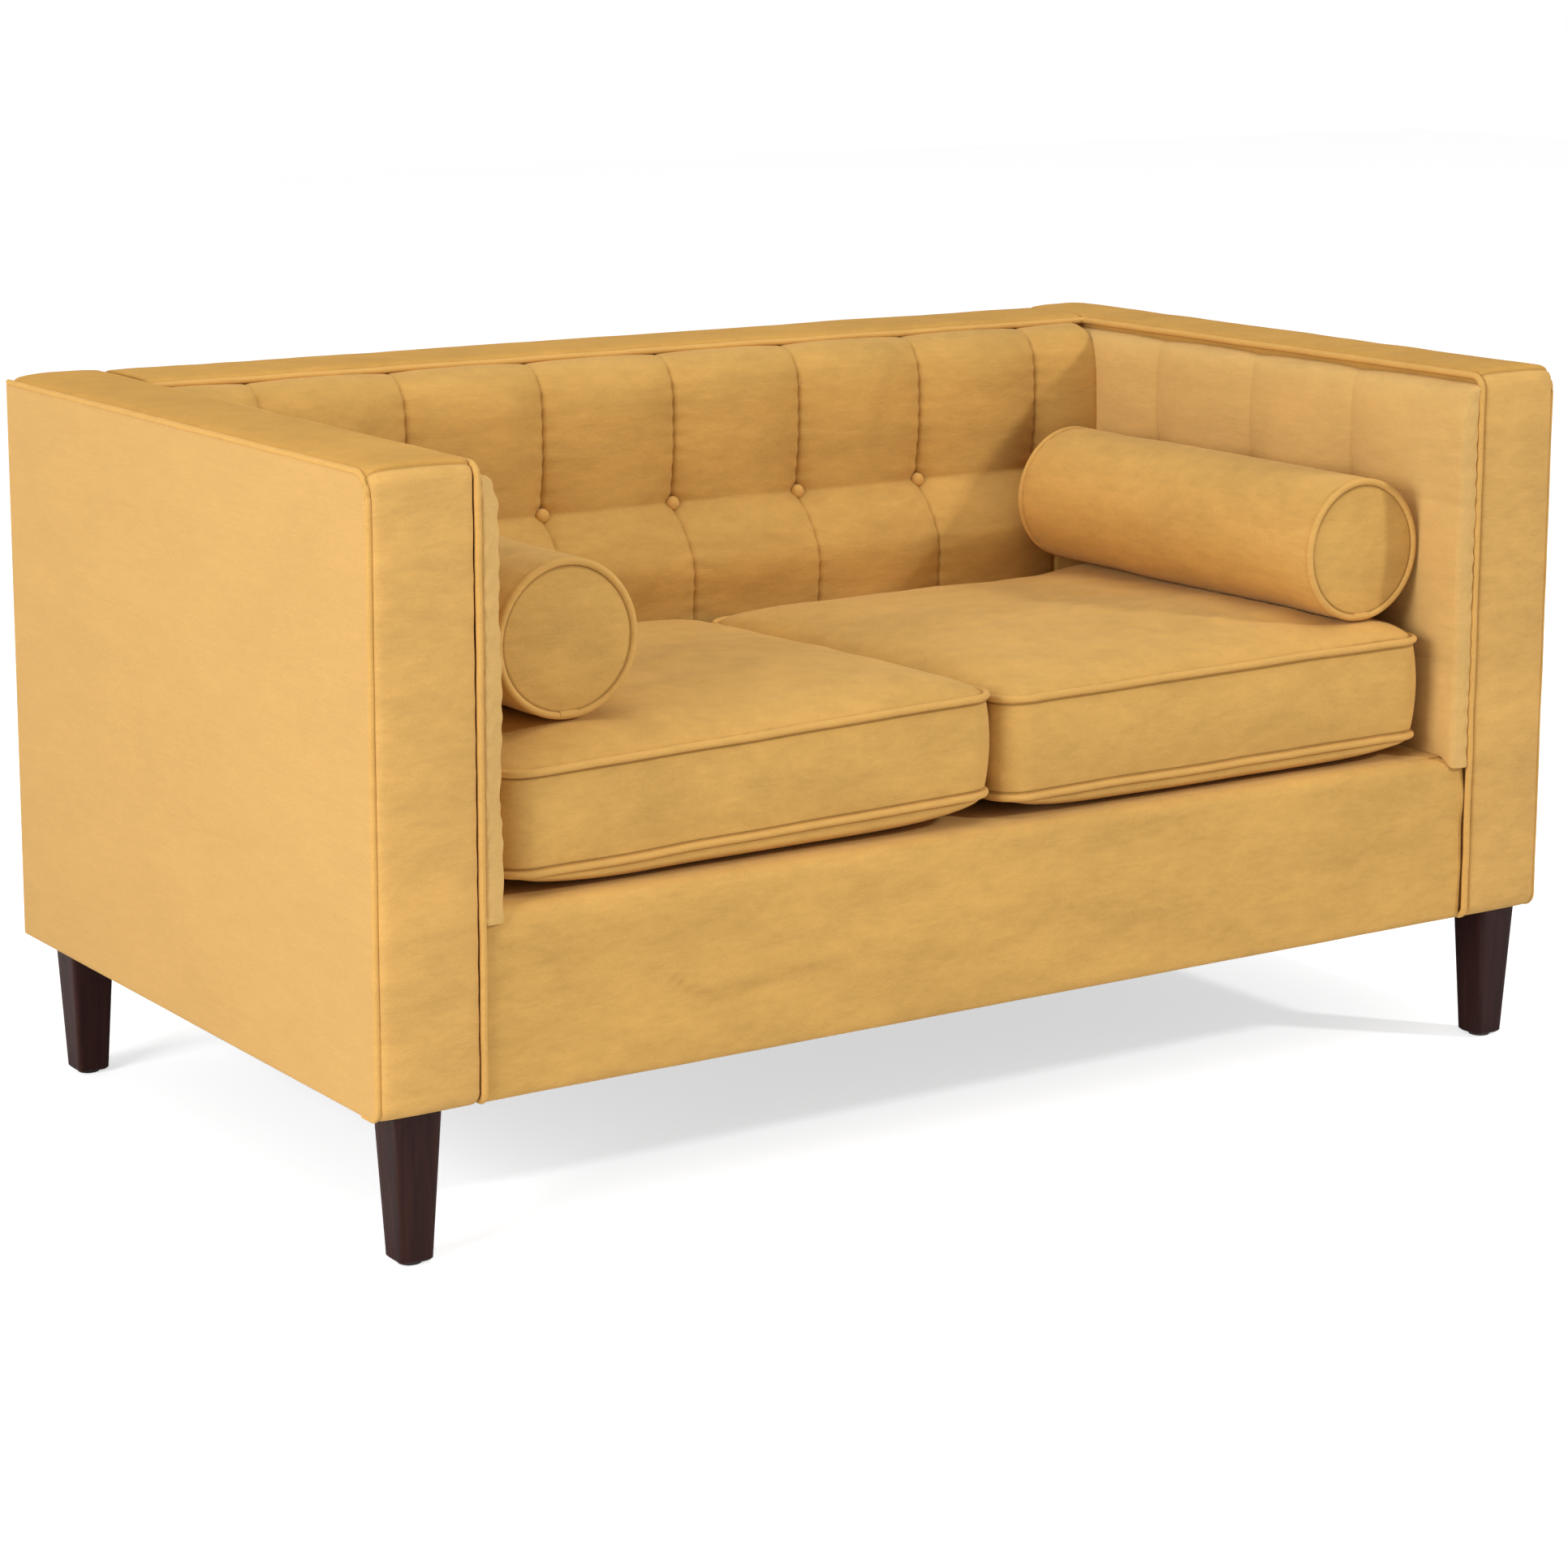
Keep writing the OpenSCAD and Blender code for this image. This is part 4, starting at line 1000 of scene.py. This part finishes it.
def arm_strip(side, part):
    """The padded strip over an arm's front and top: its crowned section is carried up the front, round the
    corner of the frame and back along the top. The band ends, and the cap starts, at a seam on the corner."""
    half = (ROLL_OUT - ARM_IN) / 2
    middle = (ROLL_OUT + ARM_IN) / 2
    across = np.sin(np.linspace(-np.pi / 2, np.pi / 2, STRIP_ROWS))
    front = stations(BASE, CORE_TOP, 0.012, [BASE], fine=0.002, reach=0.024)
    top = stations(CORE_FRONT, BACK, 0.012, [], 0.002)
    turn = np.linspace(0, np.pi / 2, 25)
    base_y = np.concatenate([np.full(len(front), CORE_FRONT), np.full(25, CORE_FRONT), top])
    base_z = np.concatenate([front, np.full(25, CORE_TOP), np.full(len(top), CORE_TOP)])
    angle = np.concatenate([np.zeros(len(front)), turn, np.full(len(top), np.pi / 2)])
    s = np.concatenate([front - CORE_TOP, turn * CAP_H, top - CORE_FRONT + np.pi / 2 * CAP_H])
    seam = SEAM_TURN * CAP_H
    keep = s <= seam if part == "band" else s >= seam
    keep = keep | (np.abs(s - seam) < 1e-9)
    s = np.concatenate([s[keep], [seam]])
    base_y = np.concatenate([base_y[keep], [CORE_FRONT]])
    base_z = np.concatenate([base_z[keep], [CORE_TOP]])
    angle = np.concatenate([angle[keep], [SEAM_TURN]])
    order = np.argsort(s, kind="stable")
    s, base_y, base_z, angle = s[order], base_y[order], base_z[order], angle[order]
    u, q = s[:, None], across[None]
    joined = smooth(base_y, 0.285, 0.310)[:, None]
    high = crowned(q, CAP_H - 0.0004, 0.0048, 20.0, flat_in=0.75 + 0.25 * joined)
    high = high + 0.0009 * waves(u, q * half, 0.17, 61 + side, 3) * (1 - q**8)
    high = (
        high
        + 0.0006 * np.sin(
            u * 2 * np.pi / 0.017 + 2 * waves(u, q * 0, 0.1, 63, 1)
        ) * np.exp(-(1 + q) / 0.18) * (u < 0)
    )
    dip = np.exp(-(((u - seam) / 0.0030) ** 2))
    high = high - 0.0020 * dip
    t = np.clip((base_z - BASE) / 0.020, 0, 1)
    curl = np.where(s < 0, np.sqrt(np.maximum(1 - (1 - t) ** 2, 0.0004)), 1.0)[:, None]
    tail = np.clip((BACK - base_y) / 0.012, 0, 1)
    curl = curl * np.sqrt(np.maximum(1 - (1 - tail) ** 2, 0.0004))[:, None]
    high = np.maximum(high, 0) * curl
    narrow = 1 - 0.05 * (1 - curl)
    x = middle + q * half * narrow
    a = angle[:, None]
    y, z = base_y[:, None] - np.cos(a) * high, base_z[:, None] + np.sin(a) * high
    # Painted shade in the seam between band and cap and along both edges beside the welts.
    shade_and_brush_marks = 0.30 * np.exp(-(((u - seam) / 0.0022) ** 2)) + 0 * q
    shade_and_brush_marks = shade_and_brush_marks + 0.40 * smooth(q, 0.965, 0.99) + 0.15 * smooth(-q, 0.985, 0.999) * (1 - joined)
    under_q = across[::-1][1:-1][::11]
    ux = middle + under_q[None] * half + 0 * u
    x = np.concatenate([x, ux], 1)
    y = np.concatenate([y, base_y[:, None] + 0 * ux], 1)
    z = np.concatenate([z, base_z[:, None] + 0 * ux], 1)
    shade_and_brush_marks = np.concatenate([shade_and_brush_marks, 0 * ux], 1)
    return surface(stack(side * x, y, z)), shade_and_brush_marks


def back_strip():
    """The padded strip over the back, with the same crowned section, between the two arm caps."""
    reach = ARM_IN - 0.0004
    along = stations(-reach, reach, 0.012, [-reach, reach], fine=0.0015, reach=0.010)
    across = np.sin(np.linspace(-np.pi / 2, np.pi / 2, STRIP_ROWS))
    half, middle = (BACK - BACK_IN) / 2, (BACK + BACK_IN) / 2
    u, q = along[:, None], across[None]
    high = (
        crowned(q, CAP_H - 0.0004, 0.0035, flat_in=0.75)
        + 0.0010 * waves(u, q * half, 0.21, 71, 3) * (1 - q**8)
    )
    end = np.clip((reach - np.abs(u)) / 0.006, 0, 1)
    high = np.maximum(high, 0) * (0.80 + 0.20 * np.sqrt(np.maximum(1 - (1 - end) ** 2, 0)))
    y, z = middle + q * half + 0 * u, CORE_TOP + high
    under = across[::-1][1:-1][::11]
    uy = middle + under[None] * half + 0 * u
    # Painted shade at both ends, where the back cap meets the arm caps, and along the inner edge.
    shade_and_brush_marks = 0.6 * np.exp(-(reach - np.abs(u)) / 0.0018) + 0.35 * smooth(-q, 0.97, 0.99) + 0 * q
    points = stack(
        u + 0 * np.concatenate([y, uy], 1), np.concatenate([y, uy], 1),
        np.concatenate([z, CORE_TOP + 0 * uy], 1)
    )
    return surface(points), np.concatenate([shade_and_brush_marks, 0 * uy], 1)


PANEL_TOP, PANEL_FRONT, PANEL_CORNER = 0.7900, -0.4212, 0.024
HEM_CORNER = 0.013
PANEL_EDGE = 0.006


def side_panel(side):
    """Velvet over the outside of an arm: a thin panel with rolled edges and a slow swell, cut round at its
    top front corner."""
    y = stations(PANEL_FRONT, BACK - 0.0005, 0.014, [BACK - 0.0005], fine=0.0015, reach=0.008)
    y = np.unique(
        np.concatenate([y, PANEL_FRONT + PANEL_CORNER * (1 - np.cos(np.linspace(0, np.pi / 2, 16)))])
    )
    inset = np.clip(1 - (y - PANEL_FRONT) / PANEL_CORNER, 0, 1)
    top = PANEL_TOP - PANEL_CORNER * (1 - np.sqrt(np.maximum(1 - inset**2, 0)))
    low_inset = np.clip(1 - (y - PANEL_FRONT) / HEM_CORNER, 0, 1)
    foot = BASE + HEM_CORNER * (1 - np.sqrt(np.maximum(1 - low_inset**2, 0)))
    t = PANEL_EDGE * np.sin(np.linspace(0, np.pi / 2, 8))
    share = np.linspace(0, 1, 46)[1:-1]
    rows_z = np.concatenate([
        foot[:, None] + t[None],
        (foot[:, None] + 0.006) + share[None] * (top - foot - 0.012)[:, None],
        top[:, None] - t[::-1][None],
    ], 1)
    edge = np.minimum(rows_z - foot[:, None], top[:, None] - rows_z)
    edge = np.minimum(edge, np.minimum(y - PANEL_FRONT + 0.001, BACK - y)[:, None])
    e = np.clip(edge / PANEL_EDGE, 0, 1)
    rolled = np.sqrt(np.maximum(1 - (1 - e) ** 2, 0))
    swell = 0.6 + 0.4 * smooth(edge, 0, 0.12)
    uneven = 0.0009 * waves(y[:, None] * 1.2, rows_z * 0.7, 0.30, 81 + side, 3) * smooth(edge, 0, 0.06)
    thick = (HALF_W - CORE_OUT) * rolled * (0.75 + 0.25 * swell) + uneven
    x = np.minimum(CORE_OUT + thick, HALF_W + 0.0012)
    inner_z = rows_z[:, ::-1][:, ::9]
    points = stack(
        side * np.concatenate([x, np.full(inner_z.shape, CORE_OUT + 0.0002)], 1),
        y[:, None] + 0 * np.concatenate([rows_z, inner_z], 1),
        np.concatenate([rows_z, inner_z], 1),
    )
    return surface(points)


def back_panel():
    """Velvet over the outside of the back, stretched flat with rolled edges and a slow swell."""
    reach = CORE_OUT
    x = stations(-reach, reach, 0.016, [-reach, reach], fine=0.0015, reach=0.008)
    t = PANEL_EDGE * np.sin(np.linspace(0, np.pi / 2, 8))
    share = np.linspace(0, 1, 44)[1:-1]
    z = np.concatenate(
        [BASE + t, BASE + 0.006 + share * (CORE_TOP + 0.004 - BASE - 0.012), CORE_TOP + 0.004 - t[::-1]]
    )
    xx, zz = x[:, None], z[None]
    edge = np.minimum(np.minimum(zz - BASE, CORE_TOP + 0.004 - zz), reach - np.abs(xx))
    e = np.clip(edge / PANEL_EDGE, 0, 1)
    thick = (
        (BACK - CORE_BACK) * np.sqrt(np.maximum(1 - (1 - e) ** 2, 0)) * (
            0.75 + 0.25 * smooth(edge, 0, 0.12)
        )
    )
    thick = thick + 0.0009 * waves(xx, zz, 0.34, 91, 3) * smooth(edge, 0, 0.06)
    y = CORE_BACK + thick
    inner = z[::-1][::9]
    y2 = np.concatenate([y, np.full((len(x), len(inner)), CORE_BACK + 0.0002)], 1)
    z2 = np.broadcast_to(np.concatenate([z, inner])[None], y2.shape)
    return surface(stack(xx + 0 * y2, y2, z2))


RAIL_ROLL = 0.014
STRIP_BACK = -0.285


def front_rail_velvet():
    """Velvet over the front rail: its section runs up the face, round a soft edge and back over the deck,
    with a tuck low on the left, painted darker along its line as shade, slack beside the arms, and the hem
    curled under."""
    x = stations(-ARM_IN - 0.0006, ARM_IN + 0.0006, 0.008, [], 0.002)
    face = stations(BASE, DECK - RAIL_ROLL, 0.007, [BASE], fine=0.002, reach=0.010)
    turn = np.linspace(0, np.pi / 2, 12)[1:]
    strip = np.linspace(RAIL_FACE + RAIL_ROLL, STRIP_BACK, 16)[1:]
    y = np.concatenate([np.full(len(face), RAIL_FACE), RAIL_FACE + RAIL_ROLL * (1 - np.cos(turn)), strip])
    z = np.concatenate(
        [face, DECK - RAIL_ROLL + (RAIL_ROLL + 0.0012) * np.sin(turn), np.full(15, DECK + 0.0012)]
    )
    out_y = np.concatenate([np.full(len(face), -1.0), -np.cos(turn), np.zeros(15)])
    out_z = np.concatenate([np.zeros(len(face)), np.sin(turn), np.ones(15)])
    xx, zz = x[:, None], z[None]
    on_face = 1 - smooth(z, DECK - 0.03, DECK + 0.001)[None]
    t = np.clip((zz - BASE) / 0.010, 0, 1)
    hem = 0.010 * (1 - np.sqrt(np.maximum(1 - (1 - t) ** 2, 0))) * (zz < BASE + 0.011)
    swell = (
        0.0022 * np.sin(np.pi * np.clip((zz - BASE) / (DECK - BASE), 0, 1))
        + 0.0011 * waves(xx, zz * 1.8, 0.24, 95, 3)
    )
    tuck_x = xx + 0.375
    hook = np.where(tuck_x < 0, 0.228 + 1.9 * tuck_x**2 * 4.2, 0.228 + 0.10 * tuck_x)
    tuck = smooth(tuck_x, -0.085, -0.045) * (1 - smooth(tuck_x, 0.04, 0.26))
    line = zz - hook
    step = 0.0022 * tuck * np.exp(-np.maximum(line, 0) / 0.020) * smooth(line, -0.004, 0.002)
    slack = (
        0.0020 * np.sin(
            (zz + 0.35 * np.abs(xx)) * 2 * np.pi / 0.085
        ) * smooth(np.abs(xx), 0.56, 0.65) * smooth(zz, 0.22, 0.32)
    )
    move = (swell + step + slack) * on_face - hem
    dip = (
        0.004 * smooth(xx, 0.55, 0.63) * smooth(z, DECK - 0.03, DECK)[None] * (
            1 - smooth(y, -0.39, -0.36)
        )[None]
    )
    py = y[None] + out_y[None] * move
    pz = zz + out_z[None] * move * 0.3 - dip
    # Painted shade along the line of the tuck.
    shade_and_brush_marks = 0.16 * tuck * np.exp(-((line / 0.0035) ** 2)) + 0 * zz
    under = np.array([[STRIP_BACK, DECK + 0.0003], [RAIL_BACK, DECK + 0.0003], [RAIL_BACK, BASE]])
    py = np.concatenate([py, np.broadcast_to(under[None, :, 0], (len(x), 3))], 1)
    pz = np.concatenate([pz, np.broadcast_to(under[None, :, 1], (len(x), 3))], 1)
    shade_and_brush_marks = np.concatenate([shade_and_brush_marks, np.zeros((len(x), 3))], 1)
    return surface(stack(xx + 0 * py, py, pz)), shade_and_brush_marks


for side, name in ((-1, "left"), (1, "right")):
    shape, shade_and_brush_marks = arm_strip(side, "band")
    piece(
        f"arm_band_velvet_{name}", shape, "sofa_body", velvet_band_lit, [f"arm_front_band_{name}"],
        fields={"shade_and_brush_marks": shade_and_brush_marks}
    )
    shape, shade_and_brush_marks = arm_strip(side, "cap")
    piece(
        f"arm_cap_velvet_{name}", shape, "sofa_body", velvet_cap_shaded, [f"arm_cap_{name}"],
        fields={"shade_and_brush_marks": shade_and_brush_marks}
    )
    piece(
        f"arm_outside_velvet_{name}", side_panel(side), "sofa_body", velvet_smooth_lit,
        [f"arm_outer_cover_{name}"]
    )

shape, shade_and_brush_marks = back_strip()
piece("back_cap_velvet", shape, "sofa_body", velvet_cap_shaded, ["back_cap"], fields={"shade_and_brush_marks": shade_and_brush_marks})
piece("back_outside_velvet", back_panel(), "sofa_body", velvet_smooth_lit, ["back_outer_cover"])
shape, shade_and_brush_marks = front_rail_velvet()
piece(
    "front_rail_velvet", shape, "sofa_body", velvet_brushed, ["front_rail_cover"],
    fields={"shade_and_brush_marks": shade_and_brush_marks}
)

# ---------------------------------------------------------------- welts


def wander(path, size, amount, seed):
    """A path with small sideways drift."""
    s = np.concatenate([[0], np.cumsum(np.linalg.norm(np.diff(path, axis=0), axis=1))])
    drift = np.stack([waves(s, s * 0, size, seed + k, 2) for k in range(3)], 1)
    return path + amount * drift


INNER_WELT_R, OUTER_WELT_R = 0.0038, 0.0031


def make_welts():
    """The inner welt is one cord: up one arm's front, back along it, along the back and down the other arm.
    The outer welts follow the edge of each side panel."""
    low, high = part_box("inner_welt")
    r = INNER_WELT_R
    wx, wy, wz = ARM_IN - 0.0026, FRONT + 0.0048, high.z - r - 0.0004
    by = high.y - r
    path = rounded_path(
        [
            (-wx, wy + 0.018, BASE + 0.0045), (-wx, wy, BASE + 0.0045), (-wx, wy, wz), (-wx, by, wz),
            (wx, by, wz), (wx, wy, wz), (wx, wy, BASE + 0.0045), (wx, wy + 0.018, BASE + 0.0045)
        ],
        [0.010, 0.015, 0.005, 0.005, 0.015, 0.010], 0.006
    )
    inner = tube(wander(path, 0.11, 0.0005, 500), r, up=(0.3, 0.2, 0.93))
    piece("inner_welt_velvet", inner, "sofa_body", velvet_cord_lit, ["inner_welt"])
    cords = []
    for side in (-1, 1):
        x = side * (ROLL_OUT + 0.0003)
        path = rounded_path(
            [(x, PANEL_FRONT + 0.030, BASE + 0.002), (x, PANEL_FRONT - 0.0005, BASE + 0.002),
             (x, PANEL_FRONT - 0.0005, PANEL_TOP + 0.0005), (x, BACK - 0.004, PANEL_TOP + 0.0005)],
            [HEM_CORNER, PANEL_CORNER], 0.006,
        )
        cords.append(tube(wander(path, 0.13, 0.0003, 520 + side), OUTER_WELT_R, up=(0, 0.3, 0.95)))
    piece("outer_welt_velvet", join(*cords), "sofa_body", velvet_cord_lit, ["outer_welt"])


make_welts()

# ---------------------------------------------------------------- legs and deck


def make_leg(name):
    """A tapered leg: a square with rounded corners, |x|^n + |y|^n = 1, narrowing straight from top to foot,
    with a small bevel at the foot."""
    low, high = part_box(name)
    cx, cy = (low.x + high.x) / 2, (low.y + high.y) / 2
    wide, foot = (high.x - low.x) / 2, 0.018
    z = np.concatenate(
        [[low.z], low.z + np.array([0.0012, 0.003, 0.006]), np.linspace(low.z + 0.012, high.z, 24)]
    )
    taper = foot + (wide - foot) * (z - low.z) / (high.z - low.z)
    bevel = 0.003 * (1 - np.clip((z - low.z) / 0.003, 0, 1)) ** 1.3
    reach = (taper - bevel)[:, None]
    a = np.arange(96) * 2 * np.pi / 96 + np.pi / 96
    power = 11.0
    edge = (np.abs(np.cos(a)) ** power + np.abs(np.sin(a)) ** power) ** (-1 / power)
    x, y = cx + reach * edge * np.cos(a), cy + reach * edge * np.sin(a)
    piece(
        f"{name}_turned", surface(stack(x, y, z[:, None] + 0 * x)), "sofa_body", dark_wood,
        [name], sharp=35
    )


for name in ("leg_front_left", "leg_front_right", "leg_back_left", "leg_back_right"):
    make_leg(name)


def make_deck():
    """Deck cloth over its padding: a slab whose top swells a few millimetres, dimpled by the springs."""
    low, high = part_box("seat_deck")
    x, y = np.linspace(low.x, high.x, 180)[:, None], np.linspace(low.y, high.y, 100)[None]
    edge = np.minimum(np.minimum(x - low.x, high.x - x), np.minimum(y - low.y, high.y - y))
    top = (
        high.z - 0.0008 - 0.0022 * (1 - smooth(edge, 0, 0.05))
        - 0.0006 * (1 + waves(x, y, 0.12, 600, 2)) * smooth(edge, 0, 0.04)
    )
    flat = low.z + 0 * top
    points = np.concatenate([stack(x, y, top), stack(x, y, flat)[:, ::-1]], 1)
    piece("seat_deck_cloth", surface(points), "sofa_body", deck_cloth, ["seat_deck"])


make_deck()

# ---------------------------------------------------------------- floor, light and backdrop


def make_floor():
    """A white floor that meets the camera as pure white where it is lit, and keeps the shadow."""
    points = stack(np.linspace(-14, 14, 29)[:, None], np.linspace(-14, 14, 29)[None], np.zeros((29, 29)))
    verts, faces = surface(points, wrap_v=False)
    mesh = bpy.data.meshes.new("floor")
    mesh.from_pydata(verts.tolist(), [], faces.tolist())
    ob = bpy.data.objects.new("floor", mesh)
    scene.collection.objects.link(ob)
    made = bpy.data.materials.new("floor white")
    made.use_nodes = True
    tree = made.node_tree
    shader = tree.nodes["Principled BSDF"]
    shader.inputs["Roughness"].default_value = 0.95
    shader.inputs["Specular IOR Level"].default_value = 0.0
    place = add(tree, "ShaderNodeTexCoord").outputs["Object"]
    soft = add(
        tree, "ShaderNodeMapRange", {0: noise(tree, place, 2.0), 1: -1.0, 2: 1.0, 3: 0.895, 4: 0.905}
    ).outputs[0]
    tint = add(tree, "ShaderNodeCombineColor", {0: soft, 1: soft, 2: soft}).outputs[0]
    tree.links.new(tint, shader.inputs["Base Color"])
    shader.inputs["Emission Color"].default_value = (1, 1, 1, 1)
    ray = add(tree, "ShaderNodeLightPath").outputs["Is Camera Ray"]
    tree.links.new(maths(tree, "MULTIPLY", ray, FLOOR_LIFT), shader.inputs["Emission Strength"])
    mesh.materials.append(made)


def make_world(strength):
    """Even white surroundings: white to the camera and to reflections, and a soft fill on everything else."""
    world = bpy.data.worlds.new("studio")
    world.use_nodes = True
    scene.world = world
    tree = world.node_tree
    ray = add(tree, "ShaderNodeLightPath").outputs
    seen = maths(
        tree, "MAXIMUM", maths(tree, "MAXIMUM", ray["Is Camera Ray"], ray["Is Glossy Ray"]),
        ray["Is Transmission Ray"]
    )
    level = maths(tree, "MULTIPLY_ADD", seen, 1.0 - strength, strength)
    back = tree.nodes["Background"]
    back.inputs["Color"].default_value = (1, 1, 1, 1)
    tree.links.new(level, back.inputs["Strength"])


def area_light(name, place, aim, size, power):
    """A square soft box that faces a point."""
    data = bpy.data.lights.new(name, "AREA")
    data.shape = "SQUARE"
    data.size = size
    data.energy = power
    ob = bpy.data.objects.new(name, data)
    ob.matrix_world = (
        Matrix.Translation(place)
        @ (Vector(aim) - Vector(place)).to_track_quat("-Z", "Y").to_matrix().to_4x4()
    )
    scene.collection.objects.link(ob)


# The glow of the floor towards the camera alone, and the strength of the fill light
FLOOR_LIFT, FILL = 0.62, 0.38
# Name, place, the point it faces, edge length in metres and power in watts
SOFT_BOXES = [
    ("key soft box", (-5.5, -1.6, 2.2), (0.0, 0.0, 0.45), 2.6, 228),
    ("top soft box", (0.0, -0.6, 4.6), (0.0, 0.0, 0.5), 3.0, 62),
    ("side soft box", (8.0, -8.7, 6.9), (0.2, 0.1, 0.5), 0.9, 640),
]
make_floor()
make_world(FILL)
for soft_box in SOFT_BOXES:
    area_light(*soft_box)

scene.view_settings.view_transform = "Standard"
